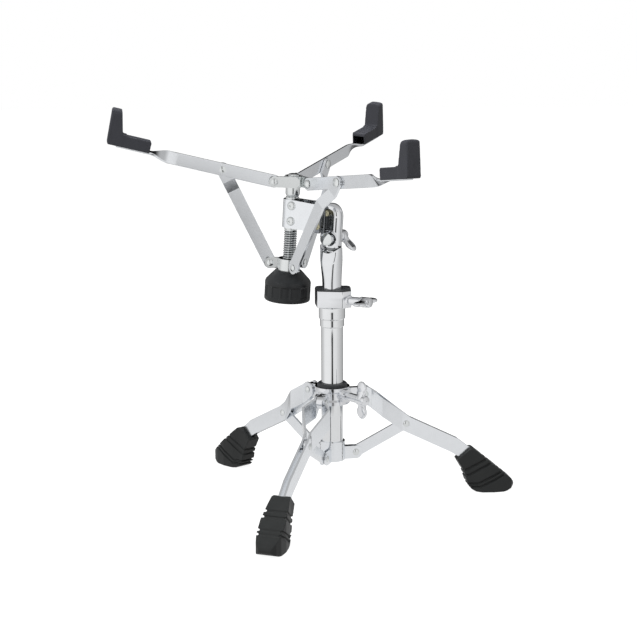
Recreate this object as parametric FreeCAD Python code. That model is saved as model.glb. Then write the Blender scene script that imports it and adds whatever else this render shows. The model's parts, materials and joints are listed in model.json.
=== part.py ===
import FreeCAD, Part
import math
import os

# Snare drum stand, in millimetres and degrees. The origin is on the floor under the base tube's
# axis, +Z is up, +X is to the right in the front view and +Y points away from the viewer.

# Fits and clearances
RUNNING_FIT = 0.05
SLIDING_FIT = 0.15
SIDE_GAP = 0.3
SEAT_GAP = 0.1
OVERRUN = 6.0

# Base tube, upper tube and ferrule
TUBE_RADIUS = 12.7
TUBE_WALL = 1.2
TUBE_BOTTOM_Z = 49.0
UPPER_TUBE_RADIUS = 9.55
UPPER_TUBE_WALL = 1.2
UPPER_TUBE_DROP = 172.0
FERRULE_WALL = 2.6
FERRULE_NECK_WALL = 1.4
FERRULE_LENGTH = 23.6
FERRULE_BAND = 13.0
FERRULE_GAP = 0.8

# Height clamp and its bushing
CLAMP_BOTTOM_Z = 232.6
CLAMP_HEIGHT = 19.4
CLAMP_SEAT_DEPTH = 4.0
CLAMP_FRONT = 17.5
CLAMP_BACK = 18.0
CLAMP_LEFT = 17.4
CLAMP_RIGHT = 22.0
CLAMP_CORNER = 5.0
CLAMP_FACET = 19.5
CLAMP_WING_AZIMUTH = -30.0
CLAMP_WING_RISE = 8.0
CLAMP_WING_R = 43.3
CLAMP_BOSS_RADIUS = 7.0
CLAMP_BOSS_LENGTH = 4.0
BUSH_WALL = 4.0
BUSH_FLANGE = 1.2
BUSH_FLANGE_INSET = 0.8

# Wing screws and the tilter's wing nut
WING_SHANK_RADIUS = 4.0
WING_HUB_RADIUS = 6.0
WING_HUB_LENGTH = 13.0
WING_SPAN = 44.0
WING_LOBE_WIDTH = 13.0
WING_THICK = 5.5
WING_WAIST = 8.0

# Legs: azimuth of the first one, and the pivots and the foot's mouth in a leg's plane
FIRST_LEG_AZIMUTH = 9.65
LEG_NAMES = ("right_leg", "left_leg", "front_leg")
LEG_PIVOT_R = 38.0
LEG_PIVOT_Z = 127.0
BRACE_JOINT_R = 88.0
BRACE_JOINT_Z = 88.0
LEG_BEND_R = 146.0
LEG_BEND_Z = 58.8
LEG_END_R = 176.0
LEG_END_Z = 37.8
LEG_END_WIDTH = 13.6
LEG_STRIP_WIDTH = 18.0
LEG_STRIP_THICK = 2.5
LEG_FLARE = 14.5
LEG_FLARE_SHARES = (0.15, 0.37, 0.90)
LEG_RIVET_RADIUS = 2.5
RIVET_HEAD_RADIUS = 4.2
RIVET_HEAD_HEIGHT = 1.6

# Sliding collar of the legs
COLLAR_BOTTOM_Z = 118.0
COLLAR_HEIGHT = 20.0
COLLAR_WALL = 7.6
COLLAR_RIB_HEIGHT = 4.0
COLLAR_RIB_DEPTH = 2.2
LUG_THICK = 7.0
LUG_WIDTH = 16.0
COLLAR_WING_RISE = 12.0
COLLAR_WING_R = 52.0
COLLAR_BOSS_RADIUS = 7.5
COLLAR_BOSS_REACH = 27.0
RING_WALL = 4.8
RING_HEIGHT = 4.0
RING_SLEEVE = 3.4
RING_SLEEVE_WALL = 1.8

# Brace hub and braces
BRACE_PIVOT_R = 27.6
BRACE_PIVOT_Z = 56.7
BRACE_HUB_HEIGHT = 23.0
BRACE_HUB_WALL = 2.1
EAR_THICK = 2.0
EAR_WIDTH = 15.4
BRACE_WIDTH = 13.8
BRACE_THICK = 3.0
BRACE_EYE_RADIUS = 8.4
BRACE_EYE_PLAY = 2.9
BRACE_RIVET_RADIUS = 2.5

# Rubber feet: box of the side outline, and outlines and grooves as shares of it
FOOT_MOUTH_R = 150.0
FOOT_LENGTH = 70.0
FOOT_HEIGHT = 54.0
FOOT_WIDTH = 30.0
FOOT_SIDE_SHARES = ((0.0, 0.755), (0.055, 0.82), (0.19, 0.965), (0.24, 1.0), (0.295, 0.99), (0.94, 0.29),
                    (0.985, 0.21), (1.0, 0.155), (0.985, 0.105), (0.945, 0.058), (0.87, 0.015), (0.80, 0.0),
                    (0.43, 0.0), (0.33, 0.022), (0.25, 0.08), (0.19, 0.19), (0.11, 0.51))
FOOT_PLAN_SHARES = ((0.0, 0.58), (0.14, 0.62), (0.25, 0.68), (0.40, 0.84), (0.62, 1.0), (0.82, 0.96),
                    (0.94, 0.78), (1.0, 0.45))
FOOT_GROOVE_SHARES = (((0.54, 0.80), (0.27, 0.61), (0.0, 0.42)), ((0.62, 0.715), (0.23, 0.42), (0.0, 0.32)),
                      ((0.81, 0.515), (0.36, 0.20), (0.0, 0.21)), ((0.87, 0.45), (0.40, 0.125), (0.0, 0.135)))
FOOT_GROOVE_WIDTH = 2.6
FOOT_GROOVE_DEPTH = 2.4

# Tilter: stem up to the pivot on the tube's axis, its turn seen from above, and the tilt at rest
STEM_LENGTH = 58.5
TILTER_AZIMUTH = -30.4
REST_TILT = 4.05
TILT_MIN = 1.0
TILT_MAX = 40.0
STEM_RADIUS = 11.1
STEM_SOCKET_DEPTH = 28.0
TONGUE_RADIUS = 8.5
TONGUE_THICK = 8.0
TONGUE_NECK = 8.0
HEAD_WIDTH = 19.0
HEAD_DEPTH = 23.0
HEAD_TOP = 43.0
HEAD_CORNER = 4.5
HEAD_FOOT_RADIUS = 15.5
HEAD_TOP_SHARES = ((-1.0, 0.78), (-0.6, 0.93), (0.0, 1.0), (0.55, 0.97), (1.0, 0.84))
HEAD_RIM_RADIUS = 9.8
SCOOP_DEPTH = 3.2
SCOOP_TOP = 36.5
SCOOP_EDGE = 5.5
FLUTE_RADIUS = 2.4
FLUTE_SPACING = 9.0
FLUTE_TOP = 35.0
TILT_BOLT_RADIUS = 4.0
TILT_BOLT_HEAD_RADIUS = 7.4
TILT_BOLT_HEAD = 3.0
TILT_WING_REACH = 22.4
TILT_WING_SPAN = 49.0
TILT_WING_ANGLE = -43.0

# Bracket strap, in the basket's frame: rod axis at zero, +X towards the tilter
BASKET_REACH = 54.8
BASKET_RISE = 58.6
BRACKET_TOP = -20.5
BRACKET_HEIGHT = 33.0
BRACKET_THICK = 2.5
BRACKET_FLAT_LENGTH = 11.9
BRACKET_FLARE_LENGTH = 13.0
BRACKET_END_GAP = 0.4
NECK_WIDTH = 10.5
NECK_HEIGHT = 31.0
BRACKET_BOLT_INSET = 3.2
BRACKET_BOLT_RADIUS = 2.5
BRACKET_BOLT_HEAD_RADIUS = 4.0
BRACKET_BOLT_HEAD = 2.4
BRACKET_BOLT_SPACING = 17.5
ROD_SCREW_X = 5.2
ROD_SCREW_RADIUS = 2.4
ROD_SCREW_HEAD_RADIUS = 5.3
ROD_SCREW_HEAD = 2.8
ROD_SCREW_DROP = 6.4
ROD_SCREW_SPACING = 18.0

# Threaded rod, basket hub and its nut
ROD_RADIUS = 7.8
ROD_BOTTOM = -138.0
ROD_NECK_RADIUS = 4.6
BASKET_HUB_RADIUS = 9.6
BASKET_HUB_HEIGHT = 13.0
BOSS_RADIUS = 8.3
BOSS_LENGTH = 10.5
BOSS_TAPER = 1.3
TOP_NUT_RADIUS = 6.4
TOP_NUT_HEIGHT = 3.0
HUB_EAR_THICK = 3.0
HUB_EAR_WIDTH = 12.6

# Arms, grips and links, in an arm's plane
ARM_AZIMUTHS = (217.5, 334.7, 90.3)
ARM_NAMES = ("left_arm", "right_arm", "back_arm")
ARM_PIVOT_R = 22.8
ARM_OFFSET = 7.3
ARM_RISE = 10.9
ARM_WIDTH = 14.6
ARM_THICK = 3.0
ARM_LINK_X = 60.7
ARM_TWIST_X = 113.5
ARM_TWIST_LENGTH = 33.0
ARM_TWIST_TURN = 90.0
ARM_TAB_LENGTH = 38.0
TWIST_STEPS = 6
ARM_BOLT_RADIUS = 3.0
ARM_BOLT_HEAD_RADIUS = 5.2
ARM_BOLT_HEAD = 3.2
GRIP_X = 146.5
GRIP_LENGTH = 51.0
GRIP_HEIGHT = 41.2
GRIP_WIDTH = 18.4
GRIP_CHANNEL_LENGTH = 25.0
GRIP_CHANNEL_HEIGHT = 9.5
GRIP_SIDE_SHARES = ((0.0, 0.0), (0.94, 0.0), (0.965, 0.05), (1.0, 0.93), (0.985, 0.98), (0.95, 1.0),
                    (0.82, 1.0), (0.785, 0.985), (0.77, 0.94), (0.665, 0.39), (0.645, 0.35), (0.57, 0.35),
                    (0.56, 0.325), (0.03, 0.325), (0.0, 0.28))
GRIP_PLAN_SHARES = ((0.0, 0.91), (0.03, 0.95), (0.60, 0.95), (0.68, 1.0), (0.96, 1.0), (1.0, 0.88))
GRIP_ARCH_SHARES = ((-1.0, 0.0), (-1.0, 0.86), (-0.95, 0.925), (-0.82, 0.965), (-0.5, 0.99), (0.0, 1.0),
                    (0.5, 0.99), (0.82, 0.965), (0.95, 0.925), (1.0, 0.86), (1.0, 0.0))
LINK_WIDTH = 15.0
LINK_THICK = 3.0
LINK_JOGGLE_SHARES = (0.76, 0.88)
LINK_EYE_PLAY = 1.6
LINK_RIVET_RADIUS = 2.5
LINK_RIVET_HEAD_RADIUS = 5.6
LINK_RIVET_HEAD = 2.0

# Slider hub and knob
SLIDER_PIN_R = 21.5
SLIDER_OFFSET = 3.3
SLIDER_PIN_Z = -97.3
SLIDER_TOP = -86.0
SLIDER_BOTTOM = -104.0
SLIDER_WALL = 4.6
SLIDER_EAR_WIDTH = 13.0
KNOB_RADIUS = 26.9
KNOB_NECK_RADIUS = 15.0
KNOB_CONE = 12.5
KNOB_HEIGHT = 36.0
KNOB_ROUND = 4.5
KNOB_CAVITY_RADIUS = 19.0
KNOB_CAVITY_DEPTH = 9.0
KNOB_PANELS = 14
KNOB_PANEL_DEPTH = 1.3
KNOB_PANEL_MARGIN = 3.0
KNOB_PANEL_SHARE = 0.72
INSERT_WALL = 4.0
INSERT_LENGTH = 20.0

# Derived places
REPEATS = 3
STEP_AZIMUTH = 360.0 / REPEATS
TUBE_TOP_Z = CLAMP_BOTTOM_Z + CLAMP_SEAT_DEPTH
CLAMP_TOP_Z = CLAMP_BOTTOM_Z + CLAMP_HEIGHT
BUSH_RADIUS = UPPER_TUBE_RADIUS + SLIDING_FIT + BUSH_WALL
STEM_BOTTOM_Z = CLAMP_TOP_Z + BUSH_FLANGE + SIDE_GAP
TILT_PIVOT_Z = STEM_BOTTOM_Z + STEM_LENGTH
COLLAR_RADIUS = TUBE_RADIUS + COLLAR_WALL
COLLAR_TOP_Z = COLLAR_BOTTOM_Z + COLLAR_HEIGHT
COLLAR_WING_Z = COLLAR_BOTTOM_Z + COLLAR_WING_RISE
COLLAR_WING_AZIMUTH = FIRST_LEG_AZIMUTH - STEP_AZIMUTH / 2
LEG_INNER_AT_LUG = LUG_THICK / 2 + SIDE_GAP
LEG_INNER_AT_BRACE = BRACE_THICK / 2 + SIDE_GAP
EAR_INNER = BRACE_THICK / 2 + SIDE_GAP
SADDLE_RADIUS = HEAD_FOOT_RADIUS + 2 * SIDE_GAP
ARM_FAR = ARM_OFFSET - SIDE_GAP
ARM_NEAR = ARM_FAR - ARM_THICK
LINK_TOP_FAR = ARM_NEAR - SIDE_GAP
LINK_TOP_NEAR = LINK_TOP_FAR - LINK_THICK
SLIDER_EAR_FAR = -SLIDER_OFFSET
SLIDER_EAR_NEAR = SLIDER_EAR_FAR - HUB_EAR_THICK
LINK_LOW_FAR = SLIDER_EAR_NEAR - SIDE_GAP
LINK_LOW_NEAR = LINK_LOW_FAR - LINK_THICK
ARM_LINK_R = ARM_PIVOT_R + ARM_LINK_X * math.cos(math.radians(ARM_RISE))
ARM_LINK_Z = ARM_LINK_X * math.sin(math.radians(ARM_RISE))
BRACKET_INNER = ROD_RADIUS
BRACKET_OUTER_INNER = NECK_WIDTH
BRACKET_END_X = BASKET_REACH - HEAD_WIDTH / 2 - BRACKET_END_GAP
BRACKET_FLARE_X = BRACKET_END_X - BRACKET_FLAT_LENGTH
BRACKET_BEND_X = BRACKET_FLARE_X - BRACKET_FLARE_LENGTH
BRACKET_BOLT_X = BRACKET_END_X - BRACKET_BOLT_INSET
BRACKET_MID = BRACKET_TOP - BRACKET_HEIGHT / 2
BOSS_BOTTOM = -BASKET_HUB_HEIGHT / 2 - BOSS_LENGTH
ROD_TOP = BOSS_BOTTOM
KNOB_TOP = SLIDER_BOTTOM - SIDE_GAP


def vector(x, y, z):
    return FreeCAD.Vector(x, y, z)


ORIGIN = vector(0, 0, 0)
X_AXIS = vector(1, 0, 0)
Y_AXIS = vector(0, 1, 0)
Z_AXIS = vector(0, 0, 1)


def turned(shape, angle, axis=Z_AXIS, centre=ORIGIN):
    """Copy of a shape, turned about an axis."""
    copy = shape.copy()
    copy.rotate(centre, axis, angle)
    return copy


def shifted(shape, x, y, z):
    """Copy of a shape, moved."""
    copy = shape.copy()
    copy.translate(vector(x, y, z))
    return copy


def joined(shapes):
    """One solid of several that meet."""
    return shapes[0].multiFuse(shapes[1:]).removeSplitter()


def prism(points, reach):
    """Solid swept from a polygon along a vector."""
    return Part.Face(Part.makePolygon(list(points) + [points[0]])).extrude(reach)


def side_prism(points, y_low, y_high):
    """Solid with an outline in the XZ plane, between two places along Y."""
    corners = [vector(x, y_low, z) for x, z in points]
    return prism(corners, vector(0, y_high - y_low, 0))


def plan_prism(points, z_low, z_high):
    """Solid with an outline in the XY plane, between two heights."""
    corners = [vector(x, y, z_low) for x, y in points]
    return prism(corners, vector(0, 0, z_high - z_low))


def post(radius, z_low, z_high, x=0, y=0):
    """Upright cylinder between two heights."""
    return Part.makeCylinder(radius, z_high - z_low, vector(x, y, z_low), Z_AXIS)


def spindle(radius, x, z, y_low, y_high):
    """Cylinder along Y through a point of the XZ plane."""
    return Part.makeCylinder(radius, y_high - y_low, vector(x, y_low, z), Y_AXIS)


def dome(base, direction, radius, height):
    """Low round cap on a flat face."""
    ball = (radius ** 2 + height ** 2) / (2 * height)
    centre = base - direction * (ball - height)
    start = math.degrees(math.asin((ball - height) / ball))
    return Part.makeSphere(ball, centre, direction, start, 90, 360)


def bar(start, end, half_width, y_low, y_high):
    """Flat bar with round ends between two points of the XZ plane."""
    run_x, run_z = end[0] - start[0], end[1] - start[1]
    length = math.hypot(run_x, run_z)
    along_x, along_z = run_x / length * half_width, run_z / length * half_width
    corners = [vector(start[0] - along_z, y_low, start[1] + along_x),
               vector(end[0] - along_z, y_low, end[1] + along_x),
               vector(end[0] + along_z, y_low, end[1] - along_x),
               vector(start[0] + along_z, y_low, start[1] - along_x)]
    tip = vector(end[0] + along_x, y_low, end[1] + along_z)
    tail = vector(start[0] - along_x, y_low, start[1] - along_z)
    edges = [Part.LineSegment(corners[0], corners[1]).toShape(),
             Part.Arc(corners[1], tip, corners[2]).toShape(),
             Part.LineSegment(corners[2], corners[3]).toShape(),
             Part.Arc(corners[3], tail, corners[0]).toShape()]
    return Part.Face(Part.Wire(edges)).extrude(vector(0, y_high - y_low, 0))


def rivet(x, z, radius, y_low, y_high, head_low, head_high, height):
    """Pin along Y with a round head at each end."""
    return joined([spindle(radius, x, z, y_low, y_high),
                   dome(vector(x, y_low, z), -Y_AXIS, head_low, height),
                   dome(vector(x, y_high, z), Y_AXIS, head_high, height)])


def revolved(points):
    """Solid turned about Z from an outline of radii and heights."""
    corners = [vector(radius, 0, z) for radius, z in points]
    face = Part.Face(Part.makePolygon(corners + [corners[0]]))
    return face.revolve(ORIGIN, Z_AXIS, 360)


def around(shape, first, count=REPEATS):
    """Copies of a shape spaced evenly about Z."""
    return [turned(shape, first + k * 360.0 / count) for k in range(count)]


def at_arms(shape):
    """Copies of a shape at the three arms' azimuths about the rod."""
    return [turned(shape, azimuth) for azimuth in ARM_AZIMUTHS]


def to_tilter(shape):
    """From the tilter's frame, with X away from the basket and Y along the pivot, to the stand's."""
    return shifted(turned(shape, TILTER_AZIMUTH), 0, 0, TILT_PIVOT_Z)


def to_head(shape):
    """From the tilter's frame to the stand's, for what tilts."""
    return to_tilter(turned(shape, REST_TILT, Y_AXIS))


def to_basket(shape):
    """From the basket's frame, with Z along the threaded rod, to the stand's."""
    return to_head(shifted(shape, -BASKET_REACH, 0, BASKET_RISE))


def base_tube():
    tube = post(TUBE_RADIUS, TUBE_BOTTOM_Z, TUBE_TOP_Z)
    bore = post(TUBE_RADIUS - TUBE_WALL, TUBE_BOTTOM_Z - OVERRUN, TUBE_TOP_Z + OVERRUN)
    return tube.cut(bore)


def upper_tube():
    top = STEM_BOTTOM_Z + STEM_SOCKET_DEPTH - SEAT_GAP
    bottom = CLAMP_BOTTOM_Z - UPPER_TUBE_DROP
    bore = post(UPPER_TUBE_RADIUS - UPPER_TUBE_WALL, bottom - OVERRUN, top + OVERRUN)
    return post(UPPER_TUBE_RADIUS, bottom, top).cut(bore)


def clamp_ferrule():
    """Swaged sleeve on the top end of the base tube, thicker in its upper band."""
    top = CLAMP_BOTTOM_Z - FERRULE_GAP
    inner = TUBE_RADIUS
    neck = TUBE_RADIUS + FERRULE_NECK_WALL
    band = TUBE_RADIUS + FERRULE_WALL
    slope = band - neck
    return revolved([(inner, top), (band, top), (band, top - FERRULE_BAND),
                     (neck, top - FERRULE_BAND - slope), (neck, top - FERRULE_LENGTH + slope),
                     (inner, top - FERRULE_LENGTH)])


def clamp_outline(inset):
    """Plan of the height clamp, drawn in from its faces by an inset."""
    turn = math.radians(-CLAMP_WING_AZIMUTH)
    front, back = CLAMP_FRONT - inset, CLAMP_BACK - inset
    left, right = CLAMP_LEFT - inset, CLAMP_RIGHT - inset
    facet = CLAMP_FACET - inset
    facet_x = (facet - front * math.sin(turn)) / math.cos(turn)
    facet_y = (right * math.cos(turn) - facet) / math.sin(turn)
    return [(CLAMP_CORNER - left, -front), (facet_x, -front), (right, facet_y), (right, back - CLAMP_CORNER),
            (right - CLAMP_CORNER, back), (CLAMP_CORNER - left, back), (-left, back - CLAMP_CORNER),
            (-left, CLAMP_CORNER - front)]


def at_clamp_wing(shape):
    """From a frame with X along a wing screw to the height clamp's facet."""
    return shifted(turned(shape, CLAMP_WING_AZIMUTH), 0, 0, CLAMP_BOTTOM_Z + CLAMP_WING_RISE)


def height_clamp():
    """Die-cast block with a boss for the wing screw, bored for the tube and the bushing."""
    block = plan_prism(clamp_outline(0), CLAMP_BOTTOM_Z, CLAMP_TOP_Z)
    boss = Part.makeCylinder(CLAMP_BOSS_RADIUS, CLAMP_FACET + CLAMP_BOSS_LENGTH, ORIGIN, X_AXIS)
    screw_hole = Part.makeCylinder(WING_SHANK_RADIUS + RUNNING_FIT, CLAMP_FACET + CLAMP_BOSS_LENGTH + OVERRUN,
                                   ORIGIN, X_AXIS)
    body = joined([block, at_clamp_wing(boss)])
    body = body.cut(post(TUBE_RADIUS, CLAMP_BOTTOM_Z - OVERRUN, CLAMP_TOP_Z + OVERRUN))
    body = body.cut(post(BUSH_RADIUS + SEAT_GAP, TUBE_TOP_Z, CLAMP_TOP_Z + OVERRUN))
    return body.cut(at_clamp_wing(screw_hole))


def clamp_bushing():
    """Nylon sleeve in the clamp, with a flange of the clamp's own outline on top."""
    sleeve = post(BUSH_RADIUS, TUBE_TOP_Z, CLAMP_TOP_Z)
    bevel = BUSH_FLANGE / 3
    flange = plan_prism(clamp_outline(BUSH_FLANGE_INSET), CLAMP_TOP_Z, CLAMP_TOP_Z + BUSH_FLANGE - bevel)
    lip = plan_prism(clamp_outline(BUSH_FLANGE_INSET + bevel), CLAMP_TOP_Z + BUSH_FLANGE - bevel,
                     CLAMP_TOP_Z + BUSH_FLANGE)
    bore = post(UPPER_TUBE_RADIUS + SLIDING_FIT, TUBE_TOP_Z - OVERRUN, CLAMP_TOP_Z + BUSH_FLANGE + OVERRUN)
    return joined([sleeve, flange, lip]).cut(bore)


def wing(centre, span):
    """Two-lobed wing in the XZ plane with its hub along X."""
    lobe = WING_LOBE_WIDTH / 2
    half = WING_THICK / 2
    pads = [bar((centre, sign * (span / 2 - lobe)), (centre, sign * (WING_WAIST + lobe)), lobe, -half, half)
            for sign in (1, -1)]
    web = bar((centre, span / 2 - lobe), (centre, lobe - span / 2), lobe - half, -half, half)
    start = centre - WING_HUB_LENGTH / 2
    hub = Part.makeCylinder(WING_HUB_RADIUS, WING_HUB_LENGTH, vector(start, 0, 0), X_AXIS)
    cap = dome(vector(start + WING_HUB_LENGTH, 0, 0), X_AXIS, WING_HUB_RADIUS, half)
    return joined(pads + [web, hub, cap])


def wing_screw(tip, collar_face, centre, span):
    """Wing with a shank that reaches in to its tip and a shoulder that stops short of the collar's face."""
    shank = Part.makeCylinder(WING_SHANK_RADIUS, centre - tip, vector(tip, 0, 0), X_AXIS)
    shoulder = Part.makeCylinder((WING_SHANK_RADIUS + WING_HUB_RADIUS) / 2, centre - collar_face - SIDE_GAP,
                                 vector(collar_face + SIDE_GAP, 0, 0), X_AXIS)
    return joined([wing(centre, span), shank, shoulder])


def clamp_wing_screw():
    face = CLAMP_FACET + CLAMP_BOSS_LENGTH
    screw = wing_screw(BUSH_RADIUS + SIDE_GAP, face, CLAMP_WING_R, WING_SPAN)
    return at_clamp_wing(turned(screw, 90, X_AXIS))


def at_collar_wing(shape):
    """From a frame with X along a wing screw to the leg collar's boss."""
    return shifted(turned(shape, COLLAR_WING_AZIMUTH), 0, 0, COLLAR_WING_Z)


def leg_collar():
    """Die-cast ring with three lugs, two ribs and a boss for the wing screw."""
    core = COLLAR_RADIUS - COLLAR_RIB_DEPTH
    ring = revolved([(0, COLLAR_BOTTOM_Z), (COLLAR_RADIUS, COLLAR_BOTTOM_Z),
                     (COLLAR_RADIUS, COLLAR_BOTTOM_Z + COLLAR_RIB_HEIGHT),
                     (core, COLLAR_BOTTOM_Z + COLLAR_RIB_HEIGHT + COLLAR_RIB_DEPTH),
                     (core, COLLAR_TOP_Z - COLLAR_RIB_HEIGHT - COLLAR_RIB_DEPTH),
                     (COLLAR_RADIUS, COLLAR_TOP_Z - COLLAR_RIB_HEIGHT), (COLLAR_RADIUS, COLLAR_TOP_Z),
                     (0, COLLAR_TOP_Z)])
    half = LUG_THICK / 2
    lug = bar((TUBE_RADIUS, LEG_PIVOT_Z), (LEG_PIVOT_R, LEG_PIVOT_Z), LUG_WIDTH / 2, -half, half)
    lug = lug.cut(spindle(LEG_RIVET_RADIUS, LEG_PIVOT_R, LEG_PIVOT_Z, -LUG_THICK, LUG_THICK))
    boss = Part.makeCylinder(COLLAR_BOSS_RADIUS, COLLAR_BOSS_REACH, ORIGIN, X_AXIS)
    screw_hole = Part.makeCylinder(WING_SHANK_RADIUS + RUNNING_FIT, COLLAR_BOSS_REACH + OVERRUN,
                                   ORIGIN, X_AXIS)
    body = joined([ring, at_collar_wing(boss)] + around(lug, FIRST_LEG_AZIMUTH))
    body = body.cut(post(TUBE_RADIUS + SLIDING_FIT, COLLAR_BOTTOM_Z - OVERRUN, COLLAR_TOP_Z + OVERRUN))
    sleeve = TUBE_RADIUS + SLIDING_FIT + RING_SLEEVE_WALL + SEAT_GAP
    body = body.cut(post(sleeve, COLLAR_TOP_Z - RING_SLEEVE - SEAT_GAP, COLLAR_TOP_Z + OVERRUN))
    return body.cut(at_collar_wing(screw_hole))


def collar_bushing():
    """Nylon sleeve in the top of the collar, with a round flange."""
    inner = TUBE_RADIUS + SLIDING_FIT
    flange = TUBE_RADIUS + RING_WALL
    bevel = RING_HEIGHT / 3
    sleeve = inner + RING_SLEEVE_WALL
    low = COLLAR_TOP_Z - RING_SLEEVE
    high = COLLAR_TOP_Z + RING_HEIGHT
    return revolved([(inner, low), (sleeve, low), (sleeve, COLLAR_TOP_Z), (flange, COLLAR_TOP_Z),
                     (flange, high - bevel), (flange - bevel, high), (inner, high)])


def collar_wing_screw():
    screw = wing_screw(TUBE_RADIUS + SIDE_GAP, COLLAR_BOSS_REACH, COLLAR_WING_R, WING_SPAN)
    return at_collar_wing(screw)


def leg_pivot_rivets():
    """One rivet through each lug and the two strips of its leg."""
    outer = LEG_INNER_AT_LUG + LEG_STRIP_THICK + SIDE_GAP
    pin = rivet(LEG_PIVOT_R, LEG_PIVOT_Z, LEG_RIVET_RADIUS, -outer, outer, RIVET_HEAD_RADIUS,
                RIVET_HEAD_RADIUS, RIVET_HEAD_HEIGHT)
    return Part.makeCompound(around(pin, FIRST_LEG_AZIMUTH))


def leg_side(y_low, y_high):
    """A leg's outline seen from its side, with bends at the brace joint and before the foot."""
    half = LEG_STRIP_WIDTH / 2
    pivot, joint = (LEG_PIVOT_R, LEG_PIVOT_Z), (BRACE_JOINT_R, BRACE_JOINT_Z)
    bend, end = (LEG_BEND_R, LEG_BEND_Z), (LEG_END_R, LEG_END_Z)
    run_r, run_z = end[0] - bend[0], end[1] - bend[1]
    length = math.hypot(run_r, run_z)
    across_r, across_z = -run_z / length, run_r / length
    edges = ((bend, half), (bend, -half), (end, -LEG_END_WIDTH / 2), (end, LEG_END_WIDTH / 2))
    corners = [(point[0] + width * across_r, point[1] + width * across_z) for point, width in edges]
    return joined([bar(pivot, joint, half, y_low, y_high), bar(joint, bend, half, y_low, y_high),
                   side_prism(corners, y_low, y_high)])


def leg_strip(sign):
    """One flat strip of a leg: it leaves the lug, bows out and runs beside its twin to the foot."""
    span = BRACE_JOINT_R - LEG_PIVOT_R
    start, peak, end = [LEG_PIVOT_R + share * span for share in LEG_FLARE_SHARES]
    line = [(LEG_PIVOT_R - LEG_STRIP_WIDTH, LEG_INNER_AT_LUG), (start, LEG_INNER_AT_LUG), (peak, LEG_FLARE),
            (end, LEG_INNER_AT_BRACE), (LEG_END_R + LEG_STRIP_WIDTH, LEG_INNER_AT_BRACE)]
    inner = [(r, sign * y) for r, y in line]
    outer = [(r, sign * (y + LEG_STRIP_THICK)) for r, y in reversed(line)]
    bent = plan_prism(inner + outer, -LEG_STRIP_WIDTH, LEG_PIVOT_Z + LEG_STRIP_WIDTH)
    reach = LEG_FLARE + LEG_STRIP_THICK + OVERRUN
    strip = leg_side(-reach, reach).common(bent)
    hole = LEG_RIVET_RADIUS + RUNNING_FIT
    strip = strip.cut(spindle(hole, LEG_PIVOT_R, LEG_PIVOT_Z, -reach, reach))
    return strip.cut(spindle(hole, BRACE_JOINT_R, BRACE_JOINT_Z, -reach, reach)).Solids[0]


def leg_rivet():
    """Rivet through a leg's two strips, with the brace's eye between them."""
    outer = LEG_INNER_AT_BRACE + LEG_STRIP_THICK
    return rivet(BRACE_JOINT_R, BRACE_JOINT_Z, LEG_RIVET_RADIUS, -outer, outer, RIVET_HEAD_RADIUS,
                 RIVET_HEAD_RADIUS, RIVET_HEAD_HEIGHT)


def foot_body(inset):
    """A foot's outer form, drawn in by an inset."""
    low_r, low_z = FOOT_MOUTH_R + inset, inset
    length, height = FOOT_LENGTH - 2 * inset, FOOT_HEIGHT - 2 * inset
    half = FOOT_WIDTH / 2 - inset
    side = [(low_r + share * length, low_z + rise * height) for share, rise in FOOT_SIDE_SHARES]
    plan = [(low_r + share * length, width * half) for share, width in FOOT_PLAN_SHARES]
    plan += [(r, -y) for r, y in reversed(plan)]
    return side_prism(side, -FOOT_WIDTH, FOOT_WIDTH).common(plan_prism(plan, -OVERRUN, FOOT_HEIGHT + OVERRUN))


def foot_grooves():
    """Bent grooves across the foot, from its top face round to its heel."""
    half = FOOT_GROOVE_WIDTH / 2
    cuts = []
    for line in FOOT_GROOVE_SHARES:
        points = [(FOOT_MOUTH_R + share * FOOT_LENGTH, rise * FOOT_HEIGHT) for share, rise in line]
        cuts += [bar(start, end, half, -FOOT_WIDTH, FOOT_WIDTH) for start, end in zip(points, points[1:])]
    return joined(cuts).cut(foot_body(FOOT_GROOVE_DEPTH))


def leg_foot():
    """Rubber boot over the end of a leg, with a pocket for the two strips."""
    reach = LEG_INNER_AT_BRACE + LEG_STRIP_THICK
    return foot_body(0).cut(foot_grooves()).cut(leg_side(-reach, reach)).Solids[0]


def brace_hub():
    """Band round the foot of the tube with three pairs of ears."""
    outer = TUBE_RADIUS + BRACE_HUB_WALL
    band = post(outer, TUBE_BOTTOM_Z, TUBE_BOTTOM_Z + BRACE_HUB_HEIGHT)
    ears = []
    for low in (EAR_INNER, -EAR_INNER - EAR_THICK):
        ear = bar((TUBE_RADIUS, BRACE_PIVOT_Z), (BRACE_PIVOT_R, BRACE_PIVOT_Z), EAR_WIDTH / 2,
                  low, low + EAR_THICK)
        ears.append(ear.cut(spindle(BRACE_RIVET_RADIUS + RUNNING_FIT, BRACE_PIVOT_R, BRACE_PIVOT_Z,
                                    low - OVERRUN, low + EAR_THICK + OVERRUN)))
    body = joined([band] + [copy for ear in ears for copy in around(ear, FIRST_LEG_AZIMUTH)])
    bore = post(TUBE_RADIUS, TUBE_BOTTOM_Z - OVERRUN, TUBE_BOTTOM_Z + BRACE_HUB_HEIGHT + OVERRUN)
    return body.cut(bore)


def brace_hub_rivets():
    """One rivet through each pair of ears and the brace between them."""
    outer = EAR_INNER + EAR_THICK
    pin = rivet(BRACE_PIVOT_R, BRACE_PIVOT_Z, BRACE_RIVET_RADIUS, -outer, outer, RIVET_HEAD_RADIUS,
                RIVET_HEAD_RADIUS, RIVET_HEAD_HEIGHT)
    return Part.makeCompound(around(pin, FIRST_LEG_AZIMUTH))


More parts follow.
